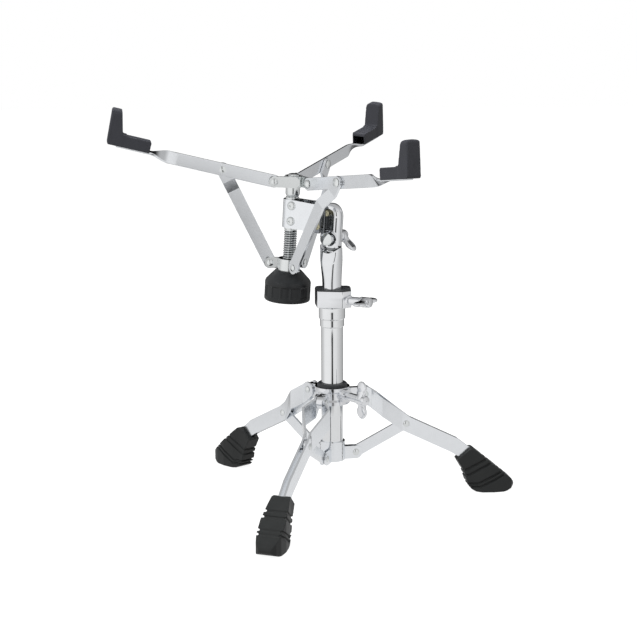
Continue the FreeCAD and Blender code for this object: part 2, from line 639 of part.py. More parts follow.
def brace():
    """Flat bar from the hub's ears to the leg's rivet, whose eye leaves the rivet room to wander."""
    half = BRACE_THICK / 2
    pivot, joint = (BRACE_PIVOT_R, BRACE_PIVOT_Z), (BRACE_JOINT_R, BRACE_JOINT_Z)
    body = joined([bar(pivot, joint, BRACE_WIDTH / 2, -half, half),
                   spindle(BRACE_EYE_RADIUS, *joint, -half, half)])
    body = body.cut(spindle(BRACE_RIVET_RADIUS + RUNNING_FIT, *pivot, -BRACE_THICK, BRACE_THICK))
    return body.cut(spindle(LEG_RIVET_RADIUS + BRACE_EYE_PLAY, *joint, -BRACE_THICK, BRACE_THICK))


def tilter_base():
    """Stem with a saddle on top and a round tongue for the pivot."""
    bottom = -STEM_LENGTH
    stem = post(STEM_RADIUS, bottom, 0)
    saddle = spindle(SADDLE_RADIUS, 0, 0, -STEM_RADIUS - OVERRUN, STEM_RADIUS + OVERRUN)
    half = TONGUE_THICK / 2
    disc = spindle(TONGUE_RADIUS, 0, 0, -half, half)
    width, root = TONGUE_NECK / 2, -SADDLE_RADIUS - OVERRUN / 2
    neck = side_prism([(-width, 0), (width, 0), (width, root), (-width, root)], -half, half)
    body = joined([stem.cut(saddle), disc, neck])
    body = body.cut(post(UPPER_TUBE_RADIUS + RUNNING_FIT, bottom - OVERRUN, bottom + STEM_SOCKET_DEPTH))
    return to_tilter(body.cut(spindle(TILT_BOLT_RADIUS, 0, 0, -TONGUE_THICK, TONGUE_THICK)))


def head_slot():
    """Room inside the tilter head for the tongue over the whole tilt."""
    room = TONGUE_NECK / 2 + SIDE_GAP
    half = TONGUE_THICK / 2 + SIDE_GAP
    far = HEAD_FOOT_RADIUS + OVERRUN
    left, right = math.radians(TILT_MIN), math.radians(TILT_MAX)
    low_left = (-room * math.cos(left), -room * math.sin(left))
    low_right = (room * math.cos(right), room * math.sin(right))
    end_left = (low_left[0] + far * math.sin(left), low_left[1] - far * math.cos(left))
    end_right = (low_right[0] + far * math.sin(right), low_right[1] - far * math.cos(right))
    fan = side_prism([low_left, end_left, (0, -2 * far), end_right, low_right], -half, half)
    return joined([fan, spindle(TONGUE_RADIUS + SIDE_GAP, 0, 0, -half, half)])


def head_post():
    """Upright of the tilter head: rounded corners in plan, round foot and crowned top from the side."""
    half = HEAD_WIDTH / 2
    deep = HEAD_DEPTH / 2
    section = Part.makeBox(HEAD_WIDTH, HEAD_DEPTH, HEAD_TOP + 2 * HEAD_FOOT_RADIUS,
                           vector(-half, -deep, -HEAD_FOOT_RADIUS))
    uprights = [edge for edge in section.Edges if edge.BoundBox.ZLength > HEAD_TOP]
    section = section.makeFillet(HEAD_CORNER, uprights)
    corner = -math.sqrt(HEAD_FOOT_RADIUS ** 2 - half ** 2)
    top = [vector(share * half, -HEAD_DEPTH, rise * HEAD_TOP) for share, rise in HEAD_TOP_SHARES]
    crown = Part.BSplineCurve()
    crown.interpolate(top)
    low_left, low_right = vector(-half, -HEAD_DEPTH, corner), vector(half, -HEAD_DEPTH, corner)
    edges = [Part.LineSegment(low_left, top[0]).toShape(), crown.toShape(),
             Part.LineSegment(top[-1], low_right).toShape(),
             Part.Arc(low_right, vector(0, -HEAD_DEPTH, -HEAD_FOOT_RADIUS), low_left).toShape()]
    side = Part.Face(Part.Wire(edges)).extrude(vector(0, 2 * HEAD_DEPTH, 0))
    return section.common(side)


def tilter_head():
    """Fork and post that carry the bracket, with a scooped face, a rim round the bolt and two flutes."""
    half = HEAD_WIDTH / 2
    deep = HEAD_DEPTH / 2
    body = head_post()
    scoop = Part.makeBox(half + SCOOP_EDGE + OVERRUN, SCOOP_DEPTH + OVERRUN, SCOOP_TOP,
                         vector(-half - OVERRUN, -deep - OVERRUN, 0))
    rim = spindle(HEAD_RIM_RADIUS, 0, 0, -deep - 2 * OVERRUN, 0)
    body = body.cut(scoop.cut(rim))
    for side in (1, -1):
        body = body.cut(post(FLUTE_RADIUS, 0, FLUTE_TOP, half + FLUTE_RADIUS / 2, side * FLUTE_SPACING / 2))
    mid = BRACKET_MID + BASKET_RISE
    neck_low = BRACKET_BOLT_X - BASKET_REACH - BRACKET_BOLT_INSET - BRACKET_BOLT_HEAD_RADIUS
    neck = Part.makeBox(-half / 2 - neck_low, 2 * NECK_WIDTH, NECK_HEIGHT,
                        vector(neck_low, -NECK_WIDTH, mid - NECK_HEIGHT / 2))
    neck = neck.cut(rim)
    body = joined([body, neck])
    for rise in bracket_bolt_heights():
        body = body.cut(spindle(BRACKET_BOLT_RADIUS + SEAT_GAP, BRACKET_BOLT_X - BASKET_REACH,
                                rise + BASKET_RISE, -HEAD_DEPTH, HEAD_DEPTH))
    body = body.cut(head_slot())
    return to_head(body.cut(spindle(TILT_BOLT_RADIUS + RUNNING_FIT, 0, 0, -HEAD_DEPTH, HEAD_DEPTH)))


def tilter_bolt():
    """Pivot bolt with a flat round head in front and a thread end for the wing nut."""
    deep = HEAD_DEPTH / 2 + SIDE_GAP
    shank = spindle(TILT_BOLT_RADIUS, 0, 0, -deep, TILT_WING_REACH)
    head = spindle(TILT_BOLT_HEAD_RADIUS, 0, 0, -deep - TILT_BOLT_HEAD / 2, -deep)
    cap = dome(vector(0, -deep - TILT_BOLT_HEAD / 2, 0), -Y_AXIS, TILT_BOLT_HEAD_RADIUS, TILT_BOLT_HEAD / 2)
    return to_tilter(joined([shank, head, cap]))


def tilter_wing_nut():
    """Wing with a long sleeve that turns on the pivot bolt's thread."""
    face = HEAD_DEPTH / 2 + SIDE_GAP
    sleeve = Part.makeCylinder(WING_HUB_RADIUS + TILT_BOLT_RADIUS / 2, TILT_WING_REACH - face,
                               vector(face, 0, 0), X_AXIS)
    bore = Part.makeCylinder(TILT_BOLT_RADIUS + RUNNING_FIT, TILT_WING_REACH + SIDE_GAP, ORIGIN, X_AXIS)
    nut = turned(joined([wing(TILT_WING_REACH, TILT_WING_SPAN), sleeve]).cut(bore), 90)
    return to_tilter(turned(nut, -TILT_WING_ANGLE - 90, Y_AXIS))


def bracket_bolt_heights():
    """Heights of the two bolts that hold the bracket to the tilter head."""
    return [BRACKET_MID + side * BRACKET_BOLT_SPACING / 2 for side in (1, -1)]


def rod_screw_heights():
    """Heights of the two screws that clamp the strap round the rod."""
    first = BRACKET_TOP - ROD_SCREW_DROP
    return [first, first - ROD_SCREW_SPACING]


def bracket():
    """Strap folded round the rod, whose two leaves open out to straddle the tilter head."""
    low = BRACKET_TOP - BRACKET_HEIGHT
    leaf = [(0, BRACKET_INNER), (BRACKET_BEND_X, BRACKET_INNER), (BRACKET_FLARE_X, BRACKET_OUTER_INNER),
            (BRACKET_END_X, BRACKET_OUTER_INNER)]
    solids = []
    for sign in (1, -1):
        inner = [(x, sign * y) for x, y in leaf]
        outer = [(x, sign * (y + BRACKET_THICK)) for x, y in reversed(leaf)]
        solids.append(plan_prism(inner + outer, low, BRACKET_TOP))
    fold = post(BRACKET_INNER + BRACKET_THICK, low, BRACKET_TOP)
    wide = 2 * BASKET_REACH
    front = Part.makeBox(BASKET_REACH, wide, wide, vector(0, -BASKET_REACH, -wide))
    fold = fold.cut(post(BRACKET_INNER, low - OVERRUN, BRACKET_TOP + OVERRUN)).cut(front)
    body = joined(solids + [fold])
    for rise in rod_screw_heights():
        body = body.cut(spindle(ROD_SCREW_RADIUS + SEAT_GAP, ROD_SCREW_X, rise, -BASKET_REACH, BASKET_REACH))
    hole = BRACKET_BOLT_RADIUS + SEAT_GAP
    for rise in bracket_bolt_heights():
        body = body.cut(spindle(hole, BRACKET_BOLT_X, rise, -BASKET_REACH, BASKET_REACH))
    return to_basket(body)


def through_fastener(x, z, radius, face, head_radius, head):
    """Screw along Y with a round head in front of one face and a round nut behind the other."""
    return rivet(x, z, radius, -face, face, head_radius, head_radius, head)


def bracket_bolts():
    face = BRACKET_OUTER_INNER + BRACKET_THICK
    bolts = [through_fastener(BRACKET_BOLT_X, rise, BRACKET_BOLT_RADIUS, face, BRACKET_BOLT_HEAD_RADIUS,
                              BRACKET_BOLT_HEAD) for rise in bracket_bolt_heights()]
    return to_basket(Part.makeCompound(bolts))


def rod_screws():
    face = BRACKET_INNER + BRACKET_THICK
    screws = [through_fastener(ROD_SCREW_X, rise, ROD_SCREW_RADIUS, face, ROD_SCREW_HEAD_RADIUS,
                               ROD_SCREW_HEAD) for rise in rod_screw_heights()]
    return to_basket(Part.makeCompound(screws))


def basket_rod():
    """Threaded rod, notched for the bracket's screws, with a thin neck for the hub."""
    top = BASKET_HUB_HEIGHT / 2 + TOP_NUT_HEIGHT / 2
    bevel = ROD_RADIUS - ROD_NECK_RADIUS
    body = revolved([(0, ROD_BOTTOM), (ROD_NECK_RADIUS, ROD_BOTTOM), (ROD_RADIUS, ROD_BOTTOM + bevel),
                     (ROD_RADIUS, ROD_TOP - bevel / 2), (ROD_RADIUS - bevel / 2, ROD_TOP),
                     (ROD_NECK_RADIUS, ROD_TOP), (ROD_NECK_RADIUS, top), (0, top)])
    for rise in rod_screw_heights():
        body = body.cut(spindle(ROD_SCREW_RADIUS + SEAT_GAP, ROD_SCREW_X, rise, -BASKET_REACH, BASKET_REACH))
    return to_basket(body)


def hub_ear(low, high, pin_r, pin_z, width, hole):
    """Flat ear from a hub's core out to a pin."""
    ear = bar((0, pin_z), (pin_r, pin_z), width / 2, low, high)
    return ear.cut(spindle(hole, pin_r, pin_z, low - OVERRUN, high + OVERRUN))


def basket_hub():
    """Hub on the rod's neck: a core with three ears beside the arms, and a tapered boss below."""
    half = BASKET_HUB_HEIGHT / 2
    core = revolved([(0, BOSS_BOTTOM), (BOSS_RADIUS - BOSS_TAPER, BOSS_BOTTOM),
                     (BOSS_RADIUS, BOSS_BOTTOM + 2 * BOSS_TAPER), (BOSS_RADIUS, -half),
                     (BASKET_HUB_RADIUS, -half), (BASKET_HUB_RADIUS, half), (0, half)])
    ear = hub_ear(ARM_OFFSET, ARM_OFFSET + HUB_EAR_THICK, ARM_PIVOT_R, 0, HUB_EAR_WIDTH,
                  ARM_BOLT_RADIUS + SEAT_GAP)
    body = joined([core] + at_arms(ear))
    return to_basket(body.cut(post(ROD_NECK_RADIUS, BOSS_BOTTOM - OVERRUN, half + OVERRUN)))


def rod_top_nut():
    """Domed nut on the rod's neck, over the hub."""
    half = BASKET_HUB_HEIGHT / 2
    rim = half + TOP_NUT_HEIGHT / 2
    body = joined([post(TOP_NUT_RADIUS, half, rim),
                   dome(vector(0, 0, rim), Z_AXIS, TOP_NUT_RADIUS, TOP_NUT_HEIGHT / 2)])
    return to_basket(body.cut(post(ROD_NECK_RADIUS + SEAT_GAP, half - OVERRUN, rim + SEAT_GAP)))


def arm_pivot_bolts():
    """One bolt through each ear and arm, with a domed head on the arm's side."""
    near = ARM_NEAR - SIDE_GAP
    far = ARM_OFFSET + HUB_EAR_THICK
    bolt = joined([spindle(ARM_BOLT_RADIUS, ARM_PIVOT_R, 0, near, far),
                   dome(vector(ARM_PIVOT_R, near, 0), -Y_AXIS, ARM_BOLT_HEAD_RADIUS, ARM_BOLT_HEAD),
                   dome(vector(ARM_PIVOT_R, far, 0), Y_AXIS, RIVET_HEAD_RADIUS, RIVET_HEAD_HEIGHT)])
    return to_basket(Part.makeCompound(at_arms(bolt)))


def from_arm(shape):
    """From an arm's own frame, with X along it from its pivot, to a plane of the basket."""
    return shifted(turned(shape, -ARM_RISE, Y_AXIS), ARM_PIVOT_R, 0, 0)


def arm_section(x, turn):
    """Rectangle across an arm, turned about the arm's centre line."""
    half_thick, half_width = ARM_THICK / 2, ARM_WIDTH / 2
    mid = (ARM_NEAR + ARM_FAR) / 2
    cos, sin = math.cos(math.radians(turn)), math.sin(math.radians(turn))
    corners = [(half_thick, half_width), (-half_thick, half_width), (-half_thick, -half_width),
               (half_thick, -half_width)]
    points = [vector(x, mid + y * cos - z * sin, y * sin + z * cos) for y, z in corners]
    return Part.makePolygon(points + [points[0]])


def arm():
    """Flat strip on edge, then a quarter twist, then a flat tab inside the grip."""
    strip = bar((0, 0), (ARM_TWIST_X / 2, 0), ARM_WIDTH / 2, ARM_NEAR, ARM_FAR)
    mid = (ARM_NEAR + ARM_FAR) / 2
    run = Part.makeBox(ARM_TWIST_X, ARM_THICK, ARM_WIDTH, vector(0, ARM_NEAR, -ARM_WIDTH / 2))
    steps = [k / TWIST_STEPS for k in range(TWIST_STEPS + 1)]
    sections = [arm_section(ARM_TWIST_X + ARM_TWIST_LENGTH * step, ARM_TWIST_TURN * step) for step in steps]
    twist = Part.makeLoft(sections, True, False)
    tab = Part.makeBox(ARM_TAB_LENGTH, ARM_WIDTH, ARM_THICK,
                       vector(ARM_TWIST_X + ARM_TWIST_LENGTH, mid - ARM_WIDTH / 2, -ARM_THICK / 2))
    body = joined([strip, run, twist, tab])
    body = body.cut(spindle(ARM_BOLT_RADIUS + RUNNING_FIT, 0, 0, -BASKET_REACH, BASKET_REACH))
    return body.cut(spindle(LINK_RIVET_RADIUS + SEAT_GAP, ARM_LINK_X, 0, -BASKET_REACH, BASKET_REACH))


def arm_link_rivet():
    """Rivet in an arm, with a wide head over the link's eye."""
    near = LINK_TOP_NEAR - SIDE_GAP
    return joined([spindle(LINK_RIVET_RADIUS, ARM_LINK_X, 0, near, ARM_FAR),
                   dome(vector(ARM_LINK_X, near, 0), -Y_AXIS, LINK_RIVET_HEAD_RADIUS, LINK_RIVET_HEAD),
                   dome(vector(ARM_LINK_X, ARM_FAR, 0), Y_AXIS, RIVET_HEAD_RADIUS, RIVET_HEAD_HEIGHT / 2)])


def grip():
    """Rubber grip on an arm's tab: a channel for a base and an arched upright that holds the rim."""
    mid = (ARM_NEAR + ARM_FAR) / 2
    half = GRIP_WIDTH / 2
    side = [(GRIP_X + share * GRIP_LENGTH, rise * GRIP_HEIGHT) for share, rise in GRIP_SIDE_SHARES]
    plan = [(GRIP_X + share * GRIP_LENGTH, width * half) for share, width in GRIP_PLAN_SHARES]
    plan += [(x, -y) for x, y in reversed(plan)]
    arch = [vector(GRIP_X, width * half, rise * GRIP_HEIGHT) for width, rise in GRIP_ARCH_SHARES]
    body = side_prism(side, -GRIP_WIDTH, GRIP_WIDTH).common(plan_prism(plan, -OVERRUN, GRIP_HEIGHT + OVERRUN))
    body = body.common(prism(arch, vector(GRIP_LENGTH, 0, 0)))
    pocket_end = ARM_TWIST_X + ARM_TWIST_LENGTH + ARM_TAB_LENGTH
    pocket = Part.makeBox(pocket_end - ARM_TWIST_X, ARM_WIDTH, ARM_THICK,
                          vector(ARM_TWIST_X, -ARM_WIDTH / 2, -ARM_THICK / 2))
    channel = Part.makeBox(GRIP_CHANNEL_LENGTH + OVERRUN, ARM_WIDTH, GRIP_CHANNEL_HEIGHT + OVERRUN,
                           vector(GRIP_X - OVERRUN, -ARM_WIDTH / 2, -OVERRUN))
    return shifted(body.cut(pocket).cut(channel), 0, mid, 0).Solids[0]


def link():
    """Flat bar from the slider's ear up to the arm, stepped sideways near its top."""
    run_r, run_z = ARM_LINK_R - SLIDER_PIN_R, ARM_LINK_Z - SLIDER_PIN_Z
    length = math.hypot(run_r, run_z)
    half = LINK_WIDTH / 2
    low, high = [share * length for share in LINK_JOGGLE_SHARES]
    far = [(-LINK_WIDTH, LINK_LOW_FAR), (low, LINK_LOW_FAR), (high, LINK_TOP_FAR),
           (length + LINK_WIDTH, LINK_TOP_FAR)]
    near = [(x, y - LINK_THICK) for x, y in reversed(far)]
    bent = plan_prism(far + near, -LINK_WIDTH, LINK_WIDTH)
    body = bar((0, 0), (length, 0), half, -BASKET_REACH, BASKET_REACH).common(bent)
    body = body.cut(spindle(LINK_RIVET_RADIUS + RUNNING_FIT, 0, 0, -BASKET_REACH, BASKET_REACH))
    body = body.cut(spindle(LINK_RIVET_RADIUS + LINK_EYE_PLAY, length, 0, -BASKET_REACH, BASKET_REACH))
    lean = math.degrees(math.atan2(run_z, run_r))
    return shifted(turned(body, -lean, Y_AXIS), SLIDER_PIN_R, 0, SLIDER_PIN_Z)


def slider_hub():
    """Ring that slides on the rod, with three ears for the links."""
    ring = post(ROD_RADIUS + SIDE_GAP + SLIDER_WALL, SLIDER_BOTTOM, SLIDER_TOP)
    ear = hub_ear(SLIDER_EAR_NEAR, SLIDER_EAR_FAR, SLIDER_PIN_R, SLIDER_PIN_Z, SLIDER_EAR_WIDTH,
                  LINK_RIVET_RADIUS + SEAT_GAP)
    body = joined([ring] + at_arms(ear))
    return to_basket(body.cut(post(ROD_RADIUS + SIDE_GAP, SLIDER_BOTTOM - OVERRUN, SLIDER_TOP + OVERRUN)))


def slider_rivets():
    """One rivet through each ear of the slider and its link."""
    pin = rivet(SLIDER_PIN_R, SLIDER_PIN_Z, LINK_RIVET_RADIUS, LINK_LOW_NEAR - SIDE_GAP, SLIDER_EAR_FAR,
                RIVET_HEAD_RADIUS, RIVET_HEAD_RADIUS, RIVET_HEAD_HEIGHT)
    return to_basket(Part.makeCompound(at_arms(pin)))


def insert_radius():
    return ROD_RADIUS + SIDE_GAP + INSERT_WALL


def basket_knob():
    """Knob with a cone, a band of sunk panels and a hollow underside."""
    low = KNOB_TOP - KNOB_HEIGHT
    shoulder = KNOB_TOP - KNOB_CONE
    bore = ROD_RADIUS + SIDE_GAP
    seat = insert_radius()
    body = revolved([(seat, KNOB_TOP), (KNOB_NECK_RADIUS, KNOB_TOP), (KNOB_RADIUS - KNOB_ROUND / 3, shoulder),
                     (KNOB_RADIUS, shoulder - KNOB_ROUND / 2), (KNOB_RADIUS, low + KNOB_ROUND),
                     (KNOB_RADIUS - KNOB_ROUND / 3, low + KNOB_ROUND / 3), (KNOB_RADIUS - KNOB_ROUND, low),
                     (KNOB_CAVITY_RADIUS, low), (KNOB_CAVITY_RADIUS, low + KNOB_CAVITY_DEPTH),
                     (bore, low + KNOB_CAVITY_DEPTH), (bore, KNOB_TOP - INSERT_LENGTH),
                     (seat, KNOB_TOP - INSERT_LENGTH)])
    width = 2 * math.pi * KNOB_RADIUS / KNOB_PANELS * KNOB_PANEL_SHARE
    panel_low = low + KNOB_ROUND + KNOB_PANEL_MARGIN / 2
    panel_high = shoulder - KNOB_PANEL_MARGIN
    panel = Part.makeBox(2 * KNOB_PANEL_DEPTH, width, panel_high - panel_low,
                         vector(KNOB_RADIUS - KNOB_PANEL_DEPTH, -width / 2, panel_low))
    return to_basket(body.cut(Part.makeCompound(around(panel, 0, KNOB_PANELS))))


def knob_insert():
    """Threaded steel bush inside the knob."""
    low = KNOB_TOP - INSERT_LENGTH
    bore = post(ROD_RADIUS + SLIDING_FIT, low - OVERRUN, KNOB_TOP + OVERRUN)
    return to_basket(post(insert_radius(), low, KNOB_TOP).cut(bore))


def fixed_nodes():
    """Pieces that occur once, or once as a group."""
    makers = (base_tube, upper_tube, clamp_ferrule, height_clamp, clamp_bushing, clamp_wing_screw, leg_collar,
              collar_bushing, collar_wing_screw, leg_pivot_rivets, brace_hub, brace_hub_rivets, tilter_base,
              tilter_head, tilter_bolt, tilter_wing_nut, bracket, bracket_bolts, rod_screws, basket_rod,
              basket_hub, rod_top_nut, arm_pivot_bolts, slider_hub, slider_rivets, basket_knob, knob_insert)
    return {maker.__name__: maker() for maker in makers}


def leg_nodes():
    """Strips, foot, rivet and brace of each leg."""
    pieces = {"strip_a": leg_strip(1), "strip_b": leg_strip(-1), "foot": leg_foot(), "rivet": leg_rivet(),
              "brace": brace()}
    return {name + "_" + piece: turned(shape, FIRST_LEG_AZIMUTH + k * STEP_AZIMUTH)
            for k, name in enumerate(LEG_NAMES) for piece, shape in pieces.items()}


def arm_nodes():
    """Strip, grip, rivet and link of each arm."""
    pieces = {"strip": from_arm(arm()), "grip": from_arm(grip()), "rivet": from_arm(arm_link_rivet()),
              "link": link()}
    return {name + "_" + piece: to_basket(turned(shape, azimuth))
            for name, azimuth in zip(ARM_NAMES, ARM_AZIMUTHS) for piece, shape in pieces.items()}


def main():
    os.makedirs("parts", exist_ok=True)
    nodes = {**fixed_nodes(), **leg_nodes(), **arm_nodes()}
    for name, shape in nodes.items():
        shape.exportStep(os.path.join("parts", name + ".step"))
        print(name, "valid" if shape.isValid() else "INVALID", len(shape.Solids), round(shape.Volume))


main()
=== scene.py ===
import json
import math

import bmesh
import bpy
from mathutils import Matrix, Vector


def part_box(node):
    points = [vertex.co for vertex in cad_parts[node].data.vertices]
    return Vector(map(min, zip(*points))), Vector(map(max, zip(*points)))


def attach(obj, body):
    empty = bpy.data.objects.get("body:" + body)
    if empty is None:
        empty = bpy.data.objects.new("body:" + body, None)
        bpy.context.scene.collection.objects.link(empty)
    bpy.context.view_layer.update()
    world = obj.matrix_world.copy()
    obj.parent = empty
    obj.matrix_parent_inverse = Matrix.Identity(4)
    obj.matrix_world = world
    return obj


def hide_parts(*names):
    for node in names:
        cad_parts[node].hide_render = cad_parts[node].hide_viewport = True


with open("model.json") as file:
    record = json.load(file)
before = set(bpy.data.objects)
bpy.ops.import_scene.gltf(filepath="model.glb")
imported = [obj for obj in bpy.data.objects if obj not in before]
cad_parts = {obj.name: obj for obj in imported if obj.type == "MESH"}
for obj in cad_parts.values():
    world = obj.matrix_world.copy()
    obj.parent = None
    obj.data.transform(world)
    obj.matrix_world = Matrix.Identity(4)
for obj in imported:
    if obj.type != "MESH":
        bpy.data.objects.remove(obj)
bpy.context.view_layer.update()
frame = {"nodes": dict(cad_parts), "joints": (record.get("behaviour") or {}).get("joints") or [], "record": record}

# Units, and the camera fitted to the photograph
MM = 0.001
CAMERA_PLACE = (-35.87, -1870.96, 602.44)
CAMERA_YAW = -0.62
CAMERA_PITCH = -11.62
CAMERA_ROLL = 0.29
CAMERA_LENS = 93.28
SENSOR_WIDTH = 36.0
VIEW_END = 100.0

# Floor, in metres: its glow to the eye over a span of distances from the stand, and its shade. In
# reflections it goes from its near level to that of the walls over another span
FLOOR_SIZE = 12.0
FLOOR_GLOW = (0.93, 1.0)
FLOOR_REACH = (0.5, 1.4)
FLOOR_SHADE = 0.16
FLOOR_NEAR = 0.80
FLOOR_FADE = (0.32, 0.55)

# Lamps: name, place, size and power
LAMPS = (("key_lamp", (-1.6, -1.5, 2.0), 1.2, 95.0), ("fill_lamp", (1.9, -1.2, 1.2), 1.6, 22.0),
         ("top_lamp", (0.1, 0.6, 2.3), 1.6, 60.0))
LAMP_TARGET = (0.0, 0.0, 0.25)

# Brightness of the studio's walls, by the share of a full turn from behind the stand by its left
STUDIO_LEVELS = ((0.0, 0.10), (0.03, 0.06), (0.06, 0.12), (0.115, 0.58), (0.18, 0.63), (0.23, 0.78),
                 (0.27, 0.94), (0.34, 0.96), (0.41, 0.94), (0.50, 0.90), (0.56, 0.88), (0.615, 0.86),
                 (0.68, 0.73), (0.80, 0.54), (0.86, 0.46), (0.94, 0.12), (0.97, 0.06), (1.0, 0.10))
STUDIO_CEILING = 0.50
CEILING_RISE = (0.55, 0.9)
STUDIO_DIFFUSE = 0.16

# Dark band from the stand toward the camera: brightness by the distance from its middle line, on the
# floor and on the walls, and the spans of distance from the stand over which it widens and ends
BAND_LEVELS = ((0.0, 0.02), (0.095, 0.02), (0.115, 0.55), (0.15, 0.80), (0.30, 1.0))
WALL_BAND_LEVELS = ((0.0, 0.02), (0.08, 0.02), (0.10, 1.0))
BAND_MIDDLE = 0.005
BAND_WIDENING = ((0.6, 1.4), (1.35, 0.60))
BAND_END = ((1.65, 1.85), (1.0, 0.0))

# Metals and mouldings: name, dark and light colours, span of roughness, grain and strength of the relief
METALS = (
    ("chromed_tube", (0.78, 0.79, 0.80), (0.86, 0.87, 0.88), (0.04, 0.08), 60, 0.02),
    ("chromed_casting", (0.76, 0.77, 0.79), (0.85, 0.86, 0.88), (0.05, 0.10), 90, 0.05),
    ("bright_strip", (0.81, 0.83, 0.855), (0.89, 0.91, 0.935), (0.14, 0.24), 120, 0.05),
    # The next row is not a finish of the metal. It is painted shade: a dark metal laid on recesses, gaps, the
    # thread's roots and the wings' windows.
    ("painted_recess_shade", (0.13, 0.135, 0.14), (0.30, 0.31, 0.32), (0.10, 0.20), 70, 0.06),
    ("steel_hardware", (0.72, 0.74, 0.74), (0.82, 0.84, 0.84), (0.10, 0.20), 160, 0.06),
    ("zinc_yellow", (0.42, 0.39, 0.26), (0.62, 0.58, 0.42), (0.20, 0.32), 200, 0.06),
)
MOULDINGS = (
    ("black_rubber", (0.026, 0.027, 0.032), (0.038, 0.039, 0.046), (0.40, 0.54), 900, 0.25),
    ("foot_rubber", (0.011, 0.012, 0.012), (0.019, 0.020, 0.020), (0.44, 0.58), 900, 0.25),
    ("black_knob", (0.010, 0.011, 0.012), (0.017, 0.018, 0.019), (0.28, 0.38), 700, 0.15),
    ("black_nylon", (0.018, 0.019, 0.021), (0.030, 0.032, 0.034), (0.32, 0.44), 600, 0.12),
)
NOISE_DETAIL = 4.0
METAL_FINENESS = 3
METAL_RELIEF = 0.1 * MM
SKIN_FINENESS = 12
SKIN_RELIEF = 0.2 * MM
SKIN_GLOSS = 0.3

# Edges of the carried-over solids
SHARP_ANGLE = math.radians(32)
FLAT_ANGLE = math.radians(0.5)
EDGE_ROUND = 0.35 * MM
EDGE_SEGMENTS = 2
WELD = 0.002 * MM

# Meshes, in millimetres in each piece's own frame
TURN_POINTS = 96
SMALL_POINTS = 48
SHANK_POINTS = 32
CORNER_STEPS = 4
DOME_STEPS = 8
MERGE = 0.001
BORE_MARGIN = 1.0

# Tubes
TUBE_WALL = 1.2
TUBE_ROUND = 0.5
FERRULE_WALL = 2.6
FERRULE_NECK_WALL = 1.4
FERRULE_BAND = 13.0

# Threaded rod and slider, as heights along the rod from the hub's joints, and radii
ROD_RADIUS = 7.8
ROD_NECK_RADIUS = 4.6
ROD_TOP = -17.0
ROD_BOTTOM = -138.0
ROD_HUB_TOP = 8.8
THREAD_TOP = -55.0
THREAD_PITCH = 2.7
THREAD_DEPTH = 1.5
THREAD_ROOT = 0.55
THREAD_STEPS = 8
SLIDER_TOP = -90.6
SLIDER_RADIUS = 14.0

# Knob, also along the rod
KNOB_TOP = -104.3
KNOB_HEIGHT = 36.0
KNOB_RADIUS = 26.9
KNOB_NECK_RADIUS = 15.0
KNOB_CONE = 12.5
KNOB_BORE = 12.2
KNOB_CAVITY_RADIUS = 19.0
KNOB_CAVITY_DEPTH = 9.0
KNOB_PANELS = 14
KNOB_PANEL_DEPTH = 1.3
KNOB_PANEL_FADE = 1.6
KNOB_PANEL_RISE = (5.0, 19.5)
KNOB_PANEL_MARGIN = 1.0
KNOB_PANEL_POWER = 6
KNOB_PANEL_POINTS = 24
KNOB_WALL_STEPS = 24
KNOB_ROUND = 2.6

# Arms
ARM_RISE = 10.9
ARM_WIDTH = 14.6
ARM_THICK = 3.0
ARM_MID = 5.5
ARM_TWIST_X = 113.5
ARM_TWIST_LENGTH = 33.0
ARM_TAB_LENGTH = 38.0
ARM_CORNER = 0.7
ARM_END_TURNS = (8.0, 90.0)
ARM_END_STEPS = 8
ARM_TWIST_STEPS = 24

# Tilter's stem and tongue, from the pivot: shares of the height over which it spreads and thins, and the
# saddle's inner rings as shares of its rim, which dips on the near side
STEM_RADIUS = 11.1
STEM_TOP_DEPTH = 8.8
STEM_RINGS = 40
STEM_POINTS = 2 * TURN_POINTS
STEM_CORNER_POWER = 2.7
STEM_SPREAD = (0.1, 1.0)
STEM_THINNING = (0.65, 1.0)
SADDLE_RADIUS = 16.1
SADDLE_SINK = 5.0
SADDLE_RINGS = (0.97, 0.94, 0.7, 0.4, 0.1)
SADDLE_LIP = 0.95
RIM_DIP = 1.5
DIP_START = 0.3
DIP_MIDDLE = -4.0
DIP_HALF = 14.0
TONGUE_RADIUS = 8.5
TONGUE_THICK = 8.0
TONGUE_NECK = 8.0
TONGUE_ROOT = 1.0
TONGUE_GAP = 0.3

# Tilter's head, from the pivot along the rod, with the tilts in degrees that its slot has room for
HEAD_LEFT = -13.8
HEAD_RIGHT = 12.2
HEAD_TOP = 40.4
HEAD_DEPTH = 23.0
HEAD_FOOT_RADIUS = 14.5
HEAD_FOOT_LEAN = 3.0
HEAD_FOOT_LEAST = 0.01
HEAD_SHOULDER = 25.0
HEAD_CORNER_POWER = 2.4
HEAD_STEPS = 50
FOOT_TURNS = (4.0, 90.0)
FOOT_STEPS = 24
CROWN_END = 89.0
CROWN_STEPS = 20
CROWN_POWER = 0.7
CROWN_LEAST = 0.0004
SLOT_STEPS = 32
TILT_LIMITS = (1.0, 40.0)

# Relief of the head: scoop, boss, and a rim and a groove round it, with the degrees over which each comes
# up and goes down. A flute is a place across the right end, a half width and a depth
RELIEF_NEAR = (0.0, 0.3)
SCOOP_DEPTH = 4.2
SCOOP_MIDDLE = (-4.6, 18.5)
SCOOP_HALF = (11.2, 18.0)
SCOOP_FADE = (0.55, 1.0)
SCOOP_POWER = 4
BOSS_RADIUS = 6.0
BOSS_HEIGHT = 1.8
BOSS_EDGE = 0.6
RIM_RADIUS = 9.8
RIM_HALF = 1.3
RIM_HEIGHT = 3.8
RIM_TURNS = (10, 60, 165, 200)
GROOVE_RADIUS = 7.6
GROOVE_HALF = 1.5
GROOVE_DEPTH = 2.6
GROOVE_TURNS = (-95, -60, 120, 160)
FLUTES = ((-1.0, 1.1, 1.0), (4.6, 1.1, 1.0))
FLUTE_TOP = 37.0
FLUTE_BOTTOM = -8.0
FLUTE_FADE = 6.0
